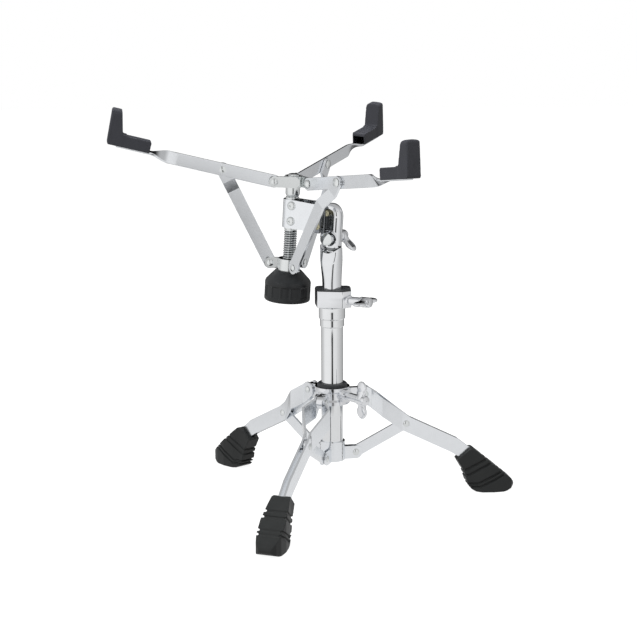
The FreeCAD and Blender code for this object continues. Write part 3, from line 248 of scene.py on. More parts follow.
FLUTE_SIDE = (0.7, 0.95)

# Painted shade on the head's sunk parts: depths past which the scoop, groove and flutes are painted dark, the
# height below which the undercut foot is, and the strip along the scoop's left edge
RECESS_DEPTH = 1.2
FLUTE_DEPTH = 0.4
FLUTE_ZONE = 2.0
UNDERCUT = -9.6
SCOOP_EDGE = -9.0
SCOOP_RISE = (5.0, 31.0)

# Neck between the head and the bracket
NECK_SPAN = (-20.0, -5.0)
NECK_RISE = (6.1, 37.1)
NECK_HALF = 10.4
NECK_ROUND = 1.0

# Wings, with the shares of the half span at which they widen and thin out, and the window in a lobe, whose sunk
# middle gets painted shade
WING_SPAN = 44.0
TILT_WING_SPAN = 49.0
WING_LOBE = 7.6
WING_HUB_RADIUS = 6.0
WING_THICK = 3.0
WING_HUB_LENGTH = 13.0
WING_HOLE = 0.4
WING_CHAMFER = 1.0
WING_ROUND = 0.6
WING_WAIST = 0.62
WING_ROOT = 0.26
WING_MIDDLE = 0.62
WING_SWELL = 0.5
WING_TIP = 0.0006
WING_RINGS = 64
WING_POWER = 2.3
WING_EDGE_POWER = 6
WINDOW_MIDDLE = 0.62
WINDOW_LENGTH = 0.24
WINDOW_HALF = 0.62
WINDOW_EDGE = 0.10
WINDOW_DEPTH = 0.55
WINDOW_DARK = 0.5
CLAMP_WING_R = 43.3
COLLAR_WING_R = 52.0
COLLAR_BOSS_REACH = 27.0
TILT_WING_REACH = 23.2
TILT_WING_TURN = -47.0

# Height clamp, whose front face looks a little to the left, and the bushing on it
CLAMP_PLAN = [(-15.6, -13.7), (12.3, -18.3), (22.0, -12.8), (22.0, 14.0), (18.0, 18.0), (-15.6, 18.0),
              (-19.8, 13.8), (-17.4, -11.9)]
CLAMP_ROUND = 0.7
CLAMP_CORNER = 1.0
CLAMP_BOSS_RADIUS = 7.0
CLAMP_BOSS_SPAN = (12.0, 23.4)
BUSH_THICK = 1.2
BUSH_ROUND = BUSH_THICK / 3
BUSH_INSET = 0.8
BUSH_BORE = 9.7

# Screws in the bracket, with the least size and the growth of their cross recesses as shares
SCREW_PLACES = (-26.9, -44.9)
SCREW_X = 5.2
SCREW_FACE = 10.3
SCREW_RADIUS = 5.3
SCREW_HEIGHT = 2.8
SCREW_DOME = 6
SCREW_LIP = 0.2
SCREW_RECESS = 1.9
SCREW_RECESS_DEPTH = 1.6
SCREW_CROSS = (0.55, 0.45)
SCREW_CROSS_POWER = 4
SCREW_SHANK = 2.4

# Bolt in the scoop of the tilter head
SCOOP_BOLT_PLACE = (-5.5, 28.6)
SCOOP_BOLT_RADIUS = 4.0
SCOOP_BOLT_HEIGHT = 4.4

# Softened rubber
RUBBER_VOXEL = 0.6 * MM
RUBBER_SMOOTHING = 0.5
RUBBER_PASSES = 3

JOINTS = {joint["name"]: joint for joint in frame["joints"]}
SLOTS = {part["node"]: part["material_slot"] for part in frame["record"]["subparts"]}
ROD_AXIS = Vector(JOINTS["knob_spin"]["axis"])
KNOB_PLACE = Vector(JOINTS["knob_spin"]["pos_m"])
HUB_PLACE = KNOB_PLACE + ROD_AXIS * (Vector(JOINTS["left_arm_lift"]["pos_m"]) - KNOB_PLACE).dot(ROD_AXIS)
UP = Vector((0, 0, 1))
ALONG_X = Matrix.Rotation(math.pi / 2, 4, "Y")
TOWARD_NEAR = Matrix.Rotation(math.pi / 2, 4, "X")
ARM_NAMES = ("left_arm", "right_arm", "back_arm")
LEG_NAMES = ("right_leg", "left_leg", "front_leg")


def fed(tree, socket, value):
    """Links a socket to another one, or sets its constant."""
    if isinstance(value, bpy.types.NodeSocket):
        tree.links.new(value, socket)
    else:
        socket.default_value = value


def calculated(tree, operation, first, second=0.0):
    """Result of an operation on two values."""
    node = tree.nodes.new("ShaderNodeMath")
    node.operation = operation
    fed(tree, node.inputs[0], first)
    fed(tree, node.inputs[1], second)
    return node.outputs["Value"]


def mapped(tree, value, span, levels):
    """Value that goes from one level to another over a span."""
    change = tree.nodes.new("ShaderNodeMapRange")
    for name, number in zip(("From Min", "From Max", "To Min", "To Max"), (*span, *levels)):
        change.inputs[name].default_value = number
    tree.links.new(value, change.inputs["Value"])
    return change.outputs["Result"]


def mixed(tree, factor, first, second, way="MIX"):
    """Colour between two colours by a factor."""
    mix = tree.nodes.new("ShaderNodeMix")
    mix.data_type = "RGBA"
    mix.blend_type = way
    for name, value in (("Factor", factor), ("A", first), ("B", second)):
        fed(tree, mix.inputs[name], value)
    return mix.outputs["Result"]


def new_material(name):
    """Material with a plain principled shader."""
    material = bpy.data.materials.new(name)
    material.use_nodes = True
    return material, material.node_tree, material.node_tree.nodes["Principled BSDF"]


def noise(tree, scale):
    """Cloudy factor in the object's own space."""
    place = tree.nodes.new("ShaderNodeTexCoord")
    texture = tree.nodes.new("ShaderNodeTexNoise")
    texture.inputs["Scale"].default_value = scale
    texture.inputs["Detail"].default_value = NOISE_DETAIL
    tree.links.new(place.outputs["Object"], texture.inputs["Vector"])
    return texture.outputs["Fac"]


def clouded(tree, shader, cloud, dark, light, rough):
    """Lets the colour and the roughness follow a cloudy factor."""
    tree.links.new(mixed(tree, cloud, (*dark, 1), (*light, 1)), shader.inputs["Base Color"])
    tree.links.new(mapped(tree, cloud, (0, 1), rough), shader.inputs["Roughness"])


def bump(tree, shader, source, strength, distance):
    """Small relief from a height."""
    relief = tree.nodes.new("ShaderNodeBump")
    relief.inputs["Strength"].default_value = strength
    relief.inputs["Distance"].default_value = distance
    tree.links.new(source, relief.inputs["Height"])
    tree.links.new(relief.outputs["Normal"], shader.inputs["Normal"])


def metal(name, dark, light, rough, grain, relief):
    """Plated metal whose colour and gloss vary a little over the surface."""
    material, tree, shader = new_material(name)
    shader.inputs["Metallic"].default_value = 1.0
    clouded(tree, shader, noise(tree, grain), dark, light, rough)
    bump(tree, shader, noise(tree, grain * METAL_FINENESS), relief, METAL_RELIEF)
    return material


def moulded(name, dark, light, rough, grain, relief):
    """Black moulded rubber or plastic with a fine skin."""
    material, tree, shader = new_material(name)
    shader.inputs["Specular IOR Level"].default_value = SKIN_GLOSS
    clouded(tree, shader, noise(tree, grain / SKIN_FINENESS), dark, light, rough)
    bump(tree, shader, noise(tree, grain), relief, SKIN_RELIEF)
    return material


MATERIALS = {row[0]: metal(*row) for row in METALS}
MATERIALS.update({row[0]: moulded(*row) for row in MOULDINGS})


def drop_normals(mesh):
    """Leaves a mesh with the normals of its own faces."""
    if "custom_normal" in mesh.attributes:
        mesh.attributes.remove(mesh.attributes["custom_normal"])


def dress_nodes():
    """Gives each carried-over solid its material and softly rounded edges."""
    for name, node in frame["nodes"].items():
        node.data.materials.clear()
        node.data.materials.append(MATERIALS[SLOTS[name]])
        drop_normals(node.data)
        node.data.shade_smooth()
        node.data.set_sharp_from_angle(angle=SHARP_ANGLE)
        weld = node.modifiers.new("weld", "WELD")
        weld.merge_threshold = WELD
        flat = node.modifiers.new("flat", "DECIMATE")
        flat.decimate_type = "DISSOLVE"
        flat.angle_limit = FLAT_ANGLE
        edge = node.modifiers.new("edge", "BEVEL")
        edge.width = EDGE_ROUND
        edge.segments = EDGE_SEGMENTS
        edge.limit_method = "ANGLE"
        edge.angle_limit = SHARP_ANGLE
        edge.harden_normals = True


def joint_frame(name, along):
    """Frame at a joint, with Z along a direction and Y along the joint's axis as far as it can be."""
    joint = JOINTS[name]
    z = Vector(along).normalized()
    y = Vector(joint["axis"])
    y = (y - z * y.dot(z)).normalized()
    turn = Matrix((y.cross(z), y, z)).transposed()
    return Matrix.Translation(joint["pos_m"]) @ turn.to_4x4()


def wing_frame(centre, axis, span):
    """Frame with X along a wing's screw and Z along its span."""
    x = Vector(axis).normalized()
    z = Vector(span)
    z = (z - x * z.dot(x)).normalized()
    return Matrix.Translation(centre) @ Matrix((x, z.cross(x), z)).transposed().to_4x4()


def add_piece(name, mesh, body, slot, *nodes):
    """Object for a finished mesh, in the place of CAD nodes."""
    mesh.materials.append(MATERIALS[slot])
    piece = bpy.data.objects.new(name, mesh)
    bpy.context.scene.collection.objects.link(piece)
    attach(piece, body)
    if nodes:
        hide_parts(*nodes)
    return piece


def finished(name, bm, place):
    """Mesh in the stand's frame from millimetres in a piece's frame."""
    bmesh.ops.remove_doubles(bm, verts=bm.verts, dist=MERGE)
    bmesh.ops.recalc_face_normals(bm, faces=bm.faces)
    mesh = bpy.data.meshes.new(name)
    bm.to_mesh(mesh)
    bm.free()
    mesh.transform(place @ Matrix.Scale(MM, 4))
    mesh.shade_smooth()
    mesh.set_sharp_from_angle(angle=SHARP_ANGLE)
    return mesh


def add_shape(name, bm, place, body, slot, *nodes):
    """Object for a shape in a piece's frame, in the place of CAD nodes."""
    return add_piece(name, finished(name, bm, place), body, slot, *nodes)


def solid_copy(node):
    """Welded copy of a CAD solid's mesh in the stand's frame."""
    source = frame["nodes"][node]
    mesh = source.data.copy()
    mesh.transform(source.matrix_world)
    mesh.materials.clear()
    drop_normals(mesh)
    bm = bmesh.new()
    bm.from_mesh(mesh)
    bmesh.ops.remove_doubles(bm, verts=bm.verts, dist=WELD)
    bmesh.ops.dissolve_limit(bm, angle_limit=FLAT_ANGLE, verts=bm.verts, edges=bm.edges)
    bm.to_mesh(mesh)
    bm.free()
    return mesh


def carved(mesh, tool):
    """Mesh with another one cut out of it."""
    body, cutter = [bpy.data.objects.new("carving", data) for data in (mesh, tool)]
    for part in (body, cutter):
        bpy.context.scene.collection.objects.link(part)
    cut = body.modifiers.new("cut", "BOOLEAN")
    cut.object = cutter
    result = bpy.data.meshes.new_from_object(body.evaluated_get(bpy.context.evaluated_depsgraph_get()))
    for part in (body, cutter):
        bpy.data.objects.remove(part)
    result.set_sharp_from_angle(angle=SHARP_ANGLE)
    return result


def paint_shade(mesh, place, sunk):
    """Paints shade onto the sunk faces of a piece with a second, darker material."""
    mesh.materials.append(MATERIALS["painted_recess_shade"])
    back = (place @ Matrix.Scale(MM, 4)).inverted()
    for face in mesh.polygons:
        face.material_index = int(sunk(*(back @ face.center)))


def ease(low, high, value):
    """Smooth step from 0 at low to 1 at high, which may lie below it."""
    t = min(max((value - low) / (high - low), 0), 1)
    return t * t * (3 - 2 * t)


def even_turns(first, last, steps):
    """Angles in radians at even steps between two in degrees."""
    return [math.radians(first + (last - first) * k / steps) for k in range(steps + 1)]


def circle(radius, z, points=TURN_POINTS):
    """Ring about Z; a radius is a number or a function of the angle."""
    angles = [2 * math.pi * k / points for k in range(points)]
    sizes = [radius(angle) if callable(radius) else radius for angle in angles]
    return [(size * math.cos(angle), size * math.sin(angle), z) for size, angle in zip(sizes, angles)]


def box_ring(half_x, half_y, power, z, points=TURN_POINTS):
    """Ring between an ellipse and a rounded box, by its power."""
    ring = []
    for k in range(points):
        angle = 2 * math.pi * k / points
        cos, sin = math.cos(angle), math.sin(angle)
        size = (abs(cos) ** power + abs(sin) ** power) ** (-1 / power)
        ring.append((half_x * size * cos, half_y * size * sin, z))
    return ring


def filleted(points, radius):
    """Closed outline with every corner rounded."""
    outline = []
    for before, corner, after in zip(points[-1:] + points[:-1], points, points[1:] + points[:1]):
        corner = Vector(corner)
        back, ahead = Vector(before) - corner, Vector(after) - corner
        reach = min(radius, back.length / 2, ahead.length / 2)
        start, end = corner + back.normalized() * reach, corner + ahead.normalized() * reach
        for k in range(CORNER_STEPS + 1):
            t = k / CORNER_STEPS
            outline.append(tuple(start * (1 - t) ** 2 + corner * 2 * t * (1 - t) + end * t ** 2))
    return outline


def drawn_in(outline, inset):
    """Anticlockwise outline drawn in from its edges."""
    points = [Vector(point) for point in outline]
    result = []
    for before, point, after in zip(points[-1:] + points[:-1], points, points[1:] + points[:1]):
        along = ((point - before).normalized() + (after - point).normalized()).normalized()
        result.append(point + Vector((-along.y, along.x)) * inset)
    return result


def loft(bm, rings):
    """Skin over closed rings of equally many points, with both ends capped."""
    layers = [[bm.verts.new(point) for point in ring] for ring in rings]
    for low, high in zip(layers, layers[1:]):
        for k in range(len(low)):
            bm.faces.new((low[k - 1], low[k], high[k], high[k - 1]))
    bm.faces.new(layers[0])
    bm.faces.new(layers[-1])


def lathe(bm, profile, points=TURN_POINTS, turn=Matrix()):
    """Surface of revolution about Z, or about another axis after a turn, that closes on itself."""
    rings = [circle(radius, z, points) for radius, z in profile]
    layers = [[bm.verts.new(turn @ Vector(point)) for point in ring] for ring in rings]
    for low, high in zip(layers, layers[1:] + layers[:1]):
        for k in range(points):
            bm.faces.new((low[k - 1], low[k], high[k], high[k - 1]))


def tablet(bm, outline, low, high, edge):
    """Plate between two heights whose edges are rounded."""
    turns = [math.pi / 2 * k / CORNER_STEPS for k in range(CORNER_STEPS + 1)]
    levels = [(edge * (1 - math.sin(turn)), low + edge * (1 - math.cos(turn))) for turn in turns]
    levels += [(inset, low + high - z) for inset, z in reversed(levels)]
    loft(bm, [[(x, y, z) for x, y in drawn_in(outline, inset)] for inset, z in levels])


def bore(radius, low, high, place=Matrix()):
    """Cutter for a round hole along Z."""
    bm = bmesh.new()
    loft(bm, [circle(radius, z) for z in (low, high)])
    return finished("bore", bm, place)


def domed(radius, height, share):
    """Point of a round cap's profile, from its rim at 0 to its crown at 1."""
    turn = math.pi / 2 * share
    return radius * math.cos(turn), height * math.sin(turn)


def make_tubes():
    """Base tube and ferrule as turned sleeves."""
    low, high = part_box("base_tube")
    outer = (high.x - low.x) / 2 / MM
    inner = outer - TUBE_WALL
    bottom, top = low.z / MM, high.z / MM
    wall = [(inner, bottom), (outer, bottom), (outer, top), (inner, top)]
    bm = bmesh.new()
    lathe(bm, filleted(wall, TUBE_ROUND))
    add_shape("tube_sleeve", bm, Matrix(), "base", "chromed_tube", "base_tube")
    low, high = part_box("clamp_ferrule")
    bottom, top = low.z / MM, high.z / MM
    band, neck = outer + FERRULE_WALL, outer + FERRULE_NECK_WALL
    slope = FERRULE_WALL - FERRULE_NECK_WALL
    swage = [(outer, top), (band, top), (band, top - FERRULE_BAND), (neck, top - FERRULE_BAND - slope),
             (neck, bottom + slope), (outer, bottom)]
    bm = bmesh.new()
    lathe(bm, filleted(swage, TUBE_ROUND))
    add_shape("ferrule_sleeve", bm, Matrix(), "base", "chromed_tube", "clamp_ferrule")


def make_clamp():
    """Block with rounded edges and a boss for the wing screw, and the black plate of its bushing."""
    low, high = [corner.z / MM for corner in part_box("height_clamp")]
    plan = filleted(CLAMP_PLAN, CLAMP_CORNER)
    bm = bmesh.new()
    tablet(bm, plan, low, high, CLAMP_ROUND)
    tube = (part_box("base_tube")[1].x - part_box("base_tube")[0].x) / 2 / MM
    hole = bore(tube, low - BORE_MARGIN, high + BORE_MARGIN)
    block = carved(finished("clamp_block", bm, Matrix()), hole)
    add_piece("clamp_block", block, "base", "chromed_casting", "height_clamp")
    start, end = CLAMP_BOSS_SPAN
    rim = [(0, start), (CLAMP_BOSS_RADIUS, start), (CLAMP_BOSS_RADIUS, end), (0, end)]
    bm = bmesh.new()
    lathe(bm, filleted(rim, CLAMP_CORNER), SMALL_POINTS, ALONG_X)
    joint = JOINTS["clamp_wing_spin"]
    boss = wing_frame(UP * joint["pos_m"][2], joint["axis"], UP)
    add_shape("clamp_boss", bm, boss, "base", "chromed_casting")
    bm = bmesh.new()
    tablet(bm, drawn_in(plan, BUSH_INSET), high, high + BUSH_THICK, BUSH_ROUND)
    hole = bore(BUSH_BORE, low, high + 2 * BUSH_THICK)
    plate = carved(finished("bushing_plate", bm, Matrix()), hole)
    add_piece("bushing_plate", plate, "base", "black_nylon", "clamp_bushing")


def thread_ring(z):
    """Section of the threaded rod at a height, with the crest one turn further each pitch."""
    def radius(angle):
        phase = (z / THREAD_PITCH - angle / (2 * math.pi)) % 1
        return ROD_RADIUS - THREAD_DEPTH * (1 - abs(2 * phase - 1)) * ease(0, THREAD_PITCH, THREAD_TOP - z)
    return circle(radius, z, SMALL_POINTS)


def make_rod(place):
    """Rod with a cut thread below the bracket, painted shade in the thread's roots, and a thin neck in the hub."""
    bevel = ROD_RADIUS - ROD_NECK_RADIUS
    count = int((THREAD_TOP - ROD_BOTTOM - bevel) / THREAD_PITCH * THREAD_STEPS)
    step = (THREAD_TOP - ROD_BOTTOM - bevel) / count
    top = ((ROD_RADIUS, ROD_TOP - bevel / 2), (ROD_RADIUS - bevel / 2, ROD_TOP),
           (ROD_NECK_RADIUS, ROD_TOP), (ROD_NECK_RADIUS, ROD_HUB_TOP))
    rings = [circle(ROD_NECK_RADIUS, ROD_BOTTOM, SMALL_POINTS)]
    rings += [thread_ring(ROD_BOTTOM + bevel + k * step) for k in range(count + 1)]
    rings += [circle(radius, z, SMALL_POINTS) for radius, z in top]
    bm = bmesh.new()
    loft(bm, rings)
    rod = finished("threaded_rod", bm, place)
    add_piece("threaded_rod", rod, "basket", "steel_hardware", "basket_rod")
    root = ROD_RADIUS - THREAD_DEPTH * THREAD_ROOT
    # Painted shade in the roots of the thread
    paint_shade(rod, place, lambda x, y, z: z < THREAD_TOP and ROD_NECK_RADIUS < math.hypot(x, y) < root)


def make_slider(place):
    """Slider with its ring cut down to the height of its ears."""
    top = (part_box("slider_hub")[1].z - place.translation.z) / MM
    hole = bore(SLIDER_RADIUS, SLIDER_TOP, top + SLIDER_RADIUS, place)
    block = carved(solid_copy("slider_hub"), hole)
    add_piece("slider_block", block, "slider", SLOTS["slider_hub"], "slider_hub")


def panelled(z, start, end):
    """Radius round the knob at a height, pressed in over each panel between two heights."""
    band = ease(start, start + KNOB_PANEL_FADE, z) * ease(end, end - KNOB_PANEL_FADE, z)

    def radius(angle):
        share = abs((angle / (2 * math.pi) * KNOB_PANELS) % 1 - 0.5) * 2
        return KNOB_RADIUS - KNOB_PANEL_DEPTH * band * (1 - share ** KNOB_PANEL_POWER)
    return radius


def make_knob(place):
    """Knob with a cone, a band of sunk panels and a hollow underside."""
    low = KNOB_TOP - KNOB_HEIGHT
    roof = low + KNOB_CAVITY_DEPTH
    outline = [(KNOB_BORE, KNOB_TOP), (KNOB_NECK_RADIUS, KNOB_TOP), (KNOB_RADIUS, KNOB_TOP - KNOB_CONE),
               (KNOB_RADIUS, low), (KNOB_CAVITY_RADIUS, low), (KNOB_CAVITY_RADIUS, roof), (KNOB_BORE, roof)]
    profile = filleted(outline, KNOB_ROUND)
    start, end = [low + rise for rise in KNOB_PANEL_RISE]
    top, base = end + KNOB_PANEL_MARGIN, start - KNOB_PANEL_MARGIN
    heights = [top + (base - top) * k / KNOB_WALL_STEPS for k in range(KNOB_WALL_STEPS + 1)]
    wall = [(panelled(z, start, end), z) for z in heights]
    split = max(k for k, (radius, z) in enumerate(profile) if radius > KNOB_RADIUS - MERGE and z > end)
    bm = bmesh.new()
    lathe(bm, profile[:split + 1] + wall + profile[split + 1:], KNOB_PANELS * KNOB_PANEL_POINTS)
    add_shape("panelled_knob", bm, place, "knob", "black_knob", "basket_knob")


def arm_ring(x, half_width, turn):
    """Rounded rectangle across an arm, turned about its centre line."""
    thick = ARM_THICK / 2
    corners = [(thick, half_width), (-thick, half_width), (-thick, -half_width), (thick, -half_width)]
    cos, sin = math.cos(turn), math.sin(turn)
    return [(x, ARM_MID + y * cos - z * sin, y * sin + z * cos) for y, z in filleted(corners, ARM_CORNER)]


def make_arm(name):
    """Flat strip with a round end, a quarter twist and a flat tab."""
    place = joint_frame(name + "_lift", ROD_AXIS) @ Matrix.Rotation(math.radians(-ARM_RISE), 4, "Y")
    half = ARM_WIDTH / 2
    ends = even_turns(*ARM_END_TURNS, ARM_END_STEPS)
    rings = [arm_ring(-half * math.cos(turn), half * math.sin(turn), 0) for turn in ends]
    for k in range(ARM_TWIST_STEPS + 1):
        share = k / ARM_TWIST_STEPS
        twist = math.pi / 2 * ease(0, 1, share)
        rings.append(arm_ring(ARM_TWIST_X + share * ARM_TWIST_LENGTH, half, twist))
    rings.append(arm_ring(ARM_TWIST_X + ARM_TWIST_LENGTH + ARM_TAB_LENGTH, half, math.pi / 2))
    bm = bmesh.new()
    loft(bm, rings)
    blade = add_shape(name + "_blade", bm, place, name, "bright_strip", name + "_strip")
    even = blade.modifiers.new("even", "WEIGHTED_NORMAL")
    even.keep_sharp = True


def make_screws(place):
    """Two round-headed screws with cross recesses through the bracket."""
    def cross(angle):
        least, growth = SCREW_CROSS
        return SCREW_RECESS * (least + growth * math.cos(2 * angle) ** SCREW_CROSS_POWER)
    bed = SCREW_HEIGHT - SCREW_RECESS_DEPTH
    cap = [domed(SCREW_RADIUS, SCREW_HEIGHT, k / DOME_STEPS) for k in range(SCREW_DOME)]
    head = [(0, 0)] + cap + [(cross, SCREW_HEIGHT - SCREW_LIP), (cross, bed), (0, bed)]
    shank = [(0, -SCREW_FACE), (SCREW_SHANK, -SCREW_FACE), (SCREW_SHANK, SCREW_FACE), (0, SCREW_FACE)]
    bm = bmesh.new()
    for z in SCREW_PLACES:
        for side in (1, -1):
            seat = Matrix.Translation((SCREW_X, side * SCREW_FACE, z))
            lathe(bm, head, SMALL_POINTS, seat @ Matrix.Rotation(-side * math.pi / 2, 4, "X"))
        lathe(bm, shank, SHANK_POINTS, Matrix.Translation((SCREW_X, 0, z)) @ TOWARD_NEAR)
    add_shape("bracket_screws", bm, place, "basket", "steel_hardware", "rod_screws")


def make_scoop_bolt(place):
    """Yellow bolt head at the top of the head's scoop."""
    x, z = SCOOP_BOLT_PLACE
    base = SCOOP_BOLT_HEIGHT / 2
    cap = [domed(SCOOP_BOLT_RADIUS, base, k / DOME_STEPS) for k in range(DOME_STEPS + 1)]
    profile = [(0, 0), (SCOOP_BOLT_RADIUS, 0)] + [(radius, base + rise) for radius, rise in cap]
    seat = Matrix.Translation((x, SCOOP_DEPTH - STEM_TOP_DEPTH, z))
    bm = bmesh.new()
    lathe(bm, profile, SMALL_POINTS, seat @ TOWARD_NEAR)
    add_shape("scoop_bolt", bm, place, "basket", "zinc_yellow")


def saddle(x, y):
    """Height of the rim of the stem's hollow end, which dips on the near side."""
    dip = ease(0, 1, -y / STEM_TOP_DEPTH - DIP_START) * (1 - ease(0, DIP_HALF, abs(x - DIP_MIDDLE)))
    return -math.sqrt(SADDLE_RADIUS ** 2 - x ** 2) - RIM_DIP * dip


def stem_ring(share, bottom):
    """Section of the stem at a share of its height, from round at its bottom to the head's width."""
    growth = ease(*STEM_SPREAD, share)
    half_x = STEM_RADIUS + ((HEAD_RIGHT - HEAD_LEFT) / 2 - STEM_RADIUS) * growth
    half_y = STEM_RADIUS + (STEM_TOP_DEPTH - STEM_RADIUS) * ease(*STEM_THINNING, share)
    middle = (HEAD_RIGHT + HEAD_LEFT) / 2 * growth
    ring = box_ring(half_x, half_y, 2 + (STEM_CORNER_POWER - 2) * growth, bottom, STEM_POINTS)
    return [(x + middle, y, z + (saddle(x + middle, y) - z) * share) for x, y, z in ring]


def make_stem(place):
    """Round stem that spreads to the head's width below a hollow saddle, with the pivot's tongue."""
    bottom = (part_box("tilter_base")[0].z - JOINTS["basket_tilt"]["pos_m"][2]) / MM
    rings = [stem_ring(k / STEM_RINGS, bottom) for k in range(STEM_RINGS + 1)]
    for inner in SADDLE_RINGS:
        drop = SADDLE_SINK if inner < SADDLE_LIP else 0
        rings.append([(x * inner, y * inner, z - drop) for x, y, z in rings[STEM_RINGS]])
    bm = bmesh.new()
    loft(bm, rings)
    half = TONGUE_THICK / 2
    eye = [circle(TONGUE_RADIUS, y, SMALL_POINTS) for y in (-half, half)]
    loft(bm, [[TOWARD_NEAR @ Vector(point) for point in ring] for ring in eye])
    neck = TONGUE_NECK / 2
    root = -SADDLE_RADIUS - SADDLE_SINK - TONGUE_ROOT
    loft(bm, [[(-neck, -half, z), (neck, -half, z), (neck, half, z), (-neck, half, z)] for z in (root, 0)])
    add_shape("tilter_stem", bm, place, "tilter", "chromed_casting", "tilter_base")


def arc(turn, turns):
    """Share that comes up over the first two of four angles and goes down over the last two."""
    return ease(turns[0], turns[1], turn) * (1 - ease(turns[2], turns[3], turn))


def head_relief(x, z):
    """How far the head's near face is pressed in: a scoop, and a groove and a rim round a raised boss."""
    across, up = (x - SCOOP_MIDDLE[0]) / SCOOP_HALF[0], (z - SCOOP_MIDDLE[1]) / SCOOP_HALF[1]
    out = (across ** SCOOP_POWER + up ** SCOOP_POWER) ** (1 / SCOOP_POWER)
    scoop = SCOOP_DEPTH * (1 - ease(*SCOOP_FADE, out))
    away, turn = math.hypot(x, z), math.degrees(math.atan2(z, x))
    inside = 1 - ease(BOSS_RADIUS - BOSS_EDGE, BOSS_RADIUS + BOSS_EDGE, away)
    groove = GROOVE_DEPTH * (1 - ease(0, GROOVE_HALF, abs(away - GROOVE_RADIUS))) * arc(turn, GROOVE_TURNS)
    rim = RIM_HEIGHT * (1 - ease(0, RIM_HALF, abs(away - RIM_RADIUS))) * arc(turn, RIM_TURNS)
    return scoop * (1 - inside) + groove - BOSS_HEIGHT * inside - rim


def flute_relief(y, z):
    """How far the right end of the head is pressed in by its flutes."""
    cuts = sum(depth * (1 - ease(0, half, abs(y - place))) for place, half, depth in FLUTES)
    foot = ease(FLUTE_BOTTOM, FLUTE_BOTTOM + FLUTE_FADE, z)
    return cuts * foot * (1 - ease(FLUTE_TOP - FLUTE_FADE, FLUTE_TOP, z))


def head_span(z):
    """Left and right edges of the tilter head at a height."""
    reach = math.sqrt(max(HEAD_FOOT_RADIUS ** 2 - min(z, 0) ** 2, HEAD_FOOT_LEAST))
    lean = HEAD_FOOT_LEAN * (min(z, 0) / HEAD_FOOT_RADIUS) ** 2
    return max(HEAD_LEFT, lean - reach), min(HEAD_RIGHT, lean + reach)


def head_ring(z):
    """Section of the tilter head at a height."""
    left, right = head_span(z)
    above = max((z - HEAD_SHOULDER) / (HEAD_TOP - HEAD_SHOULDER), 0)
    crown = math.sqrt(max(1 - above ** 2, CROWN_LEAST))
    half, middle = (right - left) / 2 * crown, (right + left) / 2
    depth = STEM_TOP_DEPTH * crown ** CROWN_POWER
    ring = []
    for x, y, level in box_ring(half, depth, HEAD_CORNER_POWER, z, STEM_POINTS):
        near, side = ease(*RELIEF_NEAR, -y / depth), ease(*FLUTE_SIDE, x / half)
        pressed = flute_relief(y, z) * side
        ring.append((x + middle - pressed, y + head_relief(x + middle, z) * near, level))
    return ring


def head_slot(place):
    """Room for the tongue over the whole tilt, open at the head's foot."""
    reach = 2 * HEAD_FOOT_RADIUS
    room = TONGUE_NECK / 2 + TONGUE_GAP
    radius = TONGUE_RADIUS + TONGUE_GAP
    half = TONGUE_THICK / 2 + TONGUE_GAP
    low, high = [math.radians(limit) for limit in TILT_LIMITS]
    bend = math.asin(room / radius)
    first, last = -math.pi / 2 + low - bend, -math.pi / 2 + high + bend - 2 * math.pi
    turns = [first + (last - first) * k / SLOT_STEPS for k in range(SLOT_STEPS + 1)]
    outline = [(radius * math.cos(turn), radius * math.sin(turn)) for turn in turns]
    outline.append((outline[-1][0] + reach * math.sin(high), outline[-1][1] - reach * math.cos(high)))
    outline.append((outline[0][0] + reach * math.sin(low), outline[0][1] - reach * math.cos(low)))
    bm = bmesh.new()
    loft(bm, [[(x, y, z) for x, z in outline] for y in (-half, half)])
    return finished("head_slot", bm, place)


def head_shade_mask(x, y, z):
    """Whether a place on the head gets painted shade: in its flutes, or on its near face along the scoop's left
    edge, deep in the scoop or groove, or on the undercut foot.
    """
    fluted = x > HEAD_RIGHT - FLUTE_ZONE and flute_relief(y, z) > FLUTE_DEPTH
    edge = x < SCOOP_EDGE and SCOOP_RISE[0] < z < SCOOP_RISE[1]
    near = y < STEM_TOP_DEPTH / 2
    return fluted or (near and (edge or z < UNDERCUT or head_relief(x, z) > RECESS_DEPTH))


def make_head(place):
    """Head of the tilter: arched top, scooped near face with a hooked rim, and a fluted right face, with painted
    shade in its sunk parts.
    """
    heights = [-HEAD_FOOT_RADIUS * math.cos(turn) for turn in even_turns(*FOOT_TURNS, FOOT_STEPS)]
    heights += [HEAD_SHOULDER * k / HEAD_STEPS for k in range(1, HEAD_STEPS)]
    crown = HEAD_TOP - HEAD_SHOULDER
    heights += [HEAD_SHOULDER + crown * math.sin(turn) for turn in even_turns(0, CROWN_END, CROWN_STEPS)]
    bm = bmesh.new()
    loft(bm, [head_ring(z) for z in heights])
    casting = carved(finished("head_casting", bm, place), head_slot(place))
    add_piece("head_casting", casting, "basket", "chromed_casting", "tilter_head")
    # Painted shade on the flutes, the scoop and its left edge, the groove and the undercut foot
    paint_shade(casting, place, head_shade_mask)


def make_neck(place):
    """Neck that joins the head to the bracket, with painted shade on its near side."""
    left, right = NECK_SPAN
    plan = [(left, -NECK_HALF), (right, -NECK_HALF), (right, NECK_HALF), (left, NECK_HALF)]
    bm = bmesh.new()
    loft(bm, [[(x, y, z) for x, y in filleted(plan, NECK_ROUND)] for z in NECK_RISE])
    mesh = finished("head_neck", bm, place)
    add_piece("head_neck", mesh, "basket", "chromed_casting")
    # Painted shade on the near side of the neck
    paint_shade(mesh, place, lambda x, y, z: y < 0)


def window(x, along, lobe):
    """How far a wing's face is pressed in, as a share, by the window in its lobe."""
    across = 1 - ease(WINDOW_HALF - WINDOW_EDGE, WINDOW_HALF, abs(x) / lobe)
    return across * (1 - ease(WINDOW_LENGTH - WINDOW_EDGE, WINDOW_LENGTH, abs(abs(along) - WINDOW_MIDDLE)))


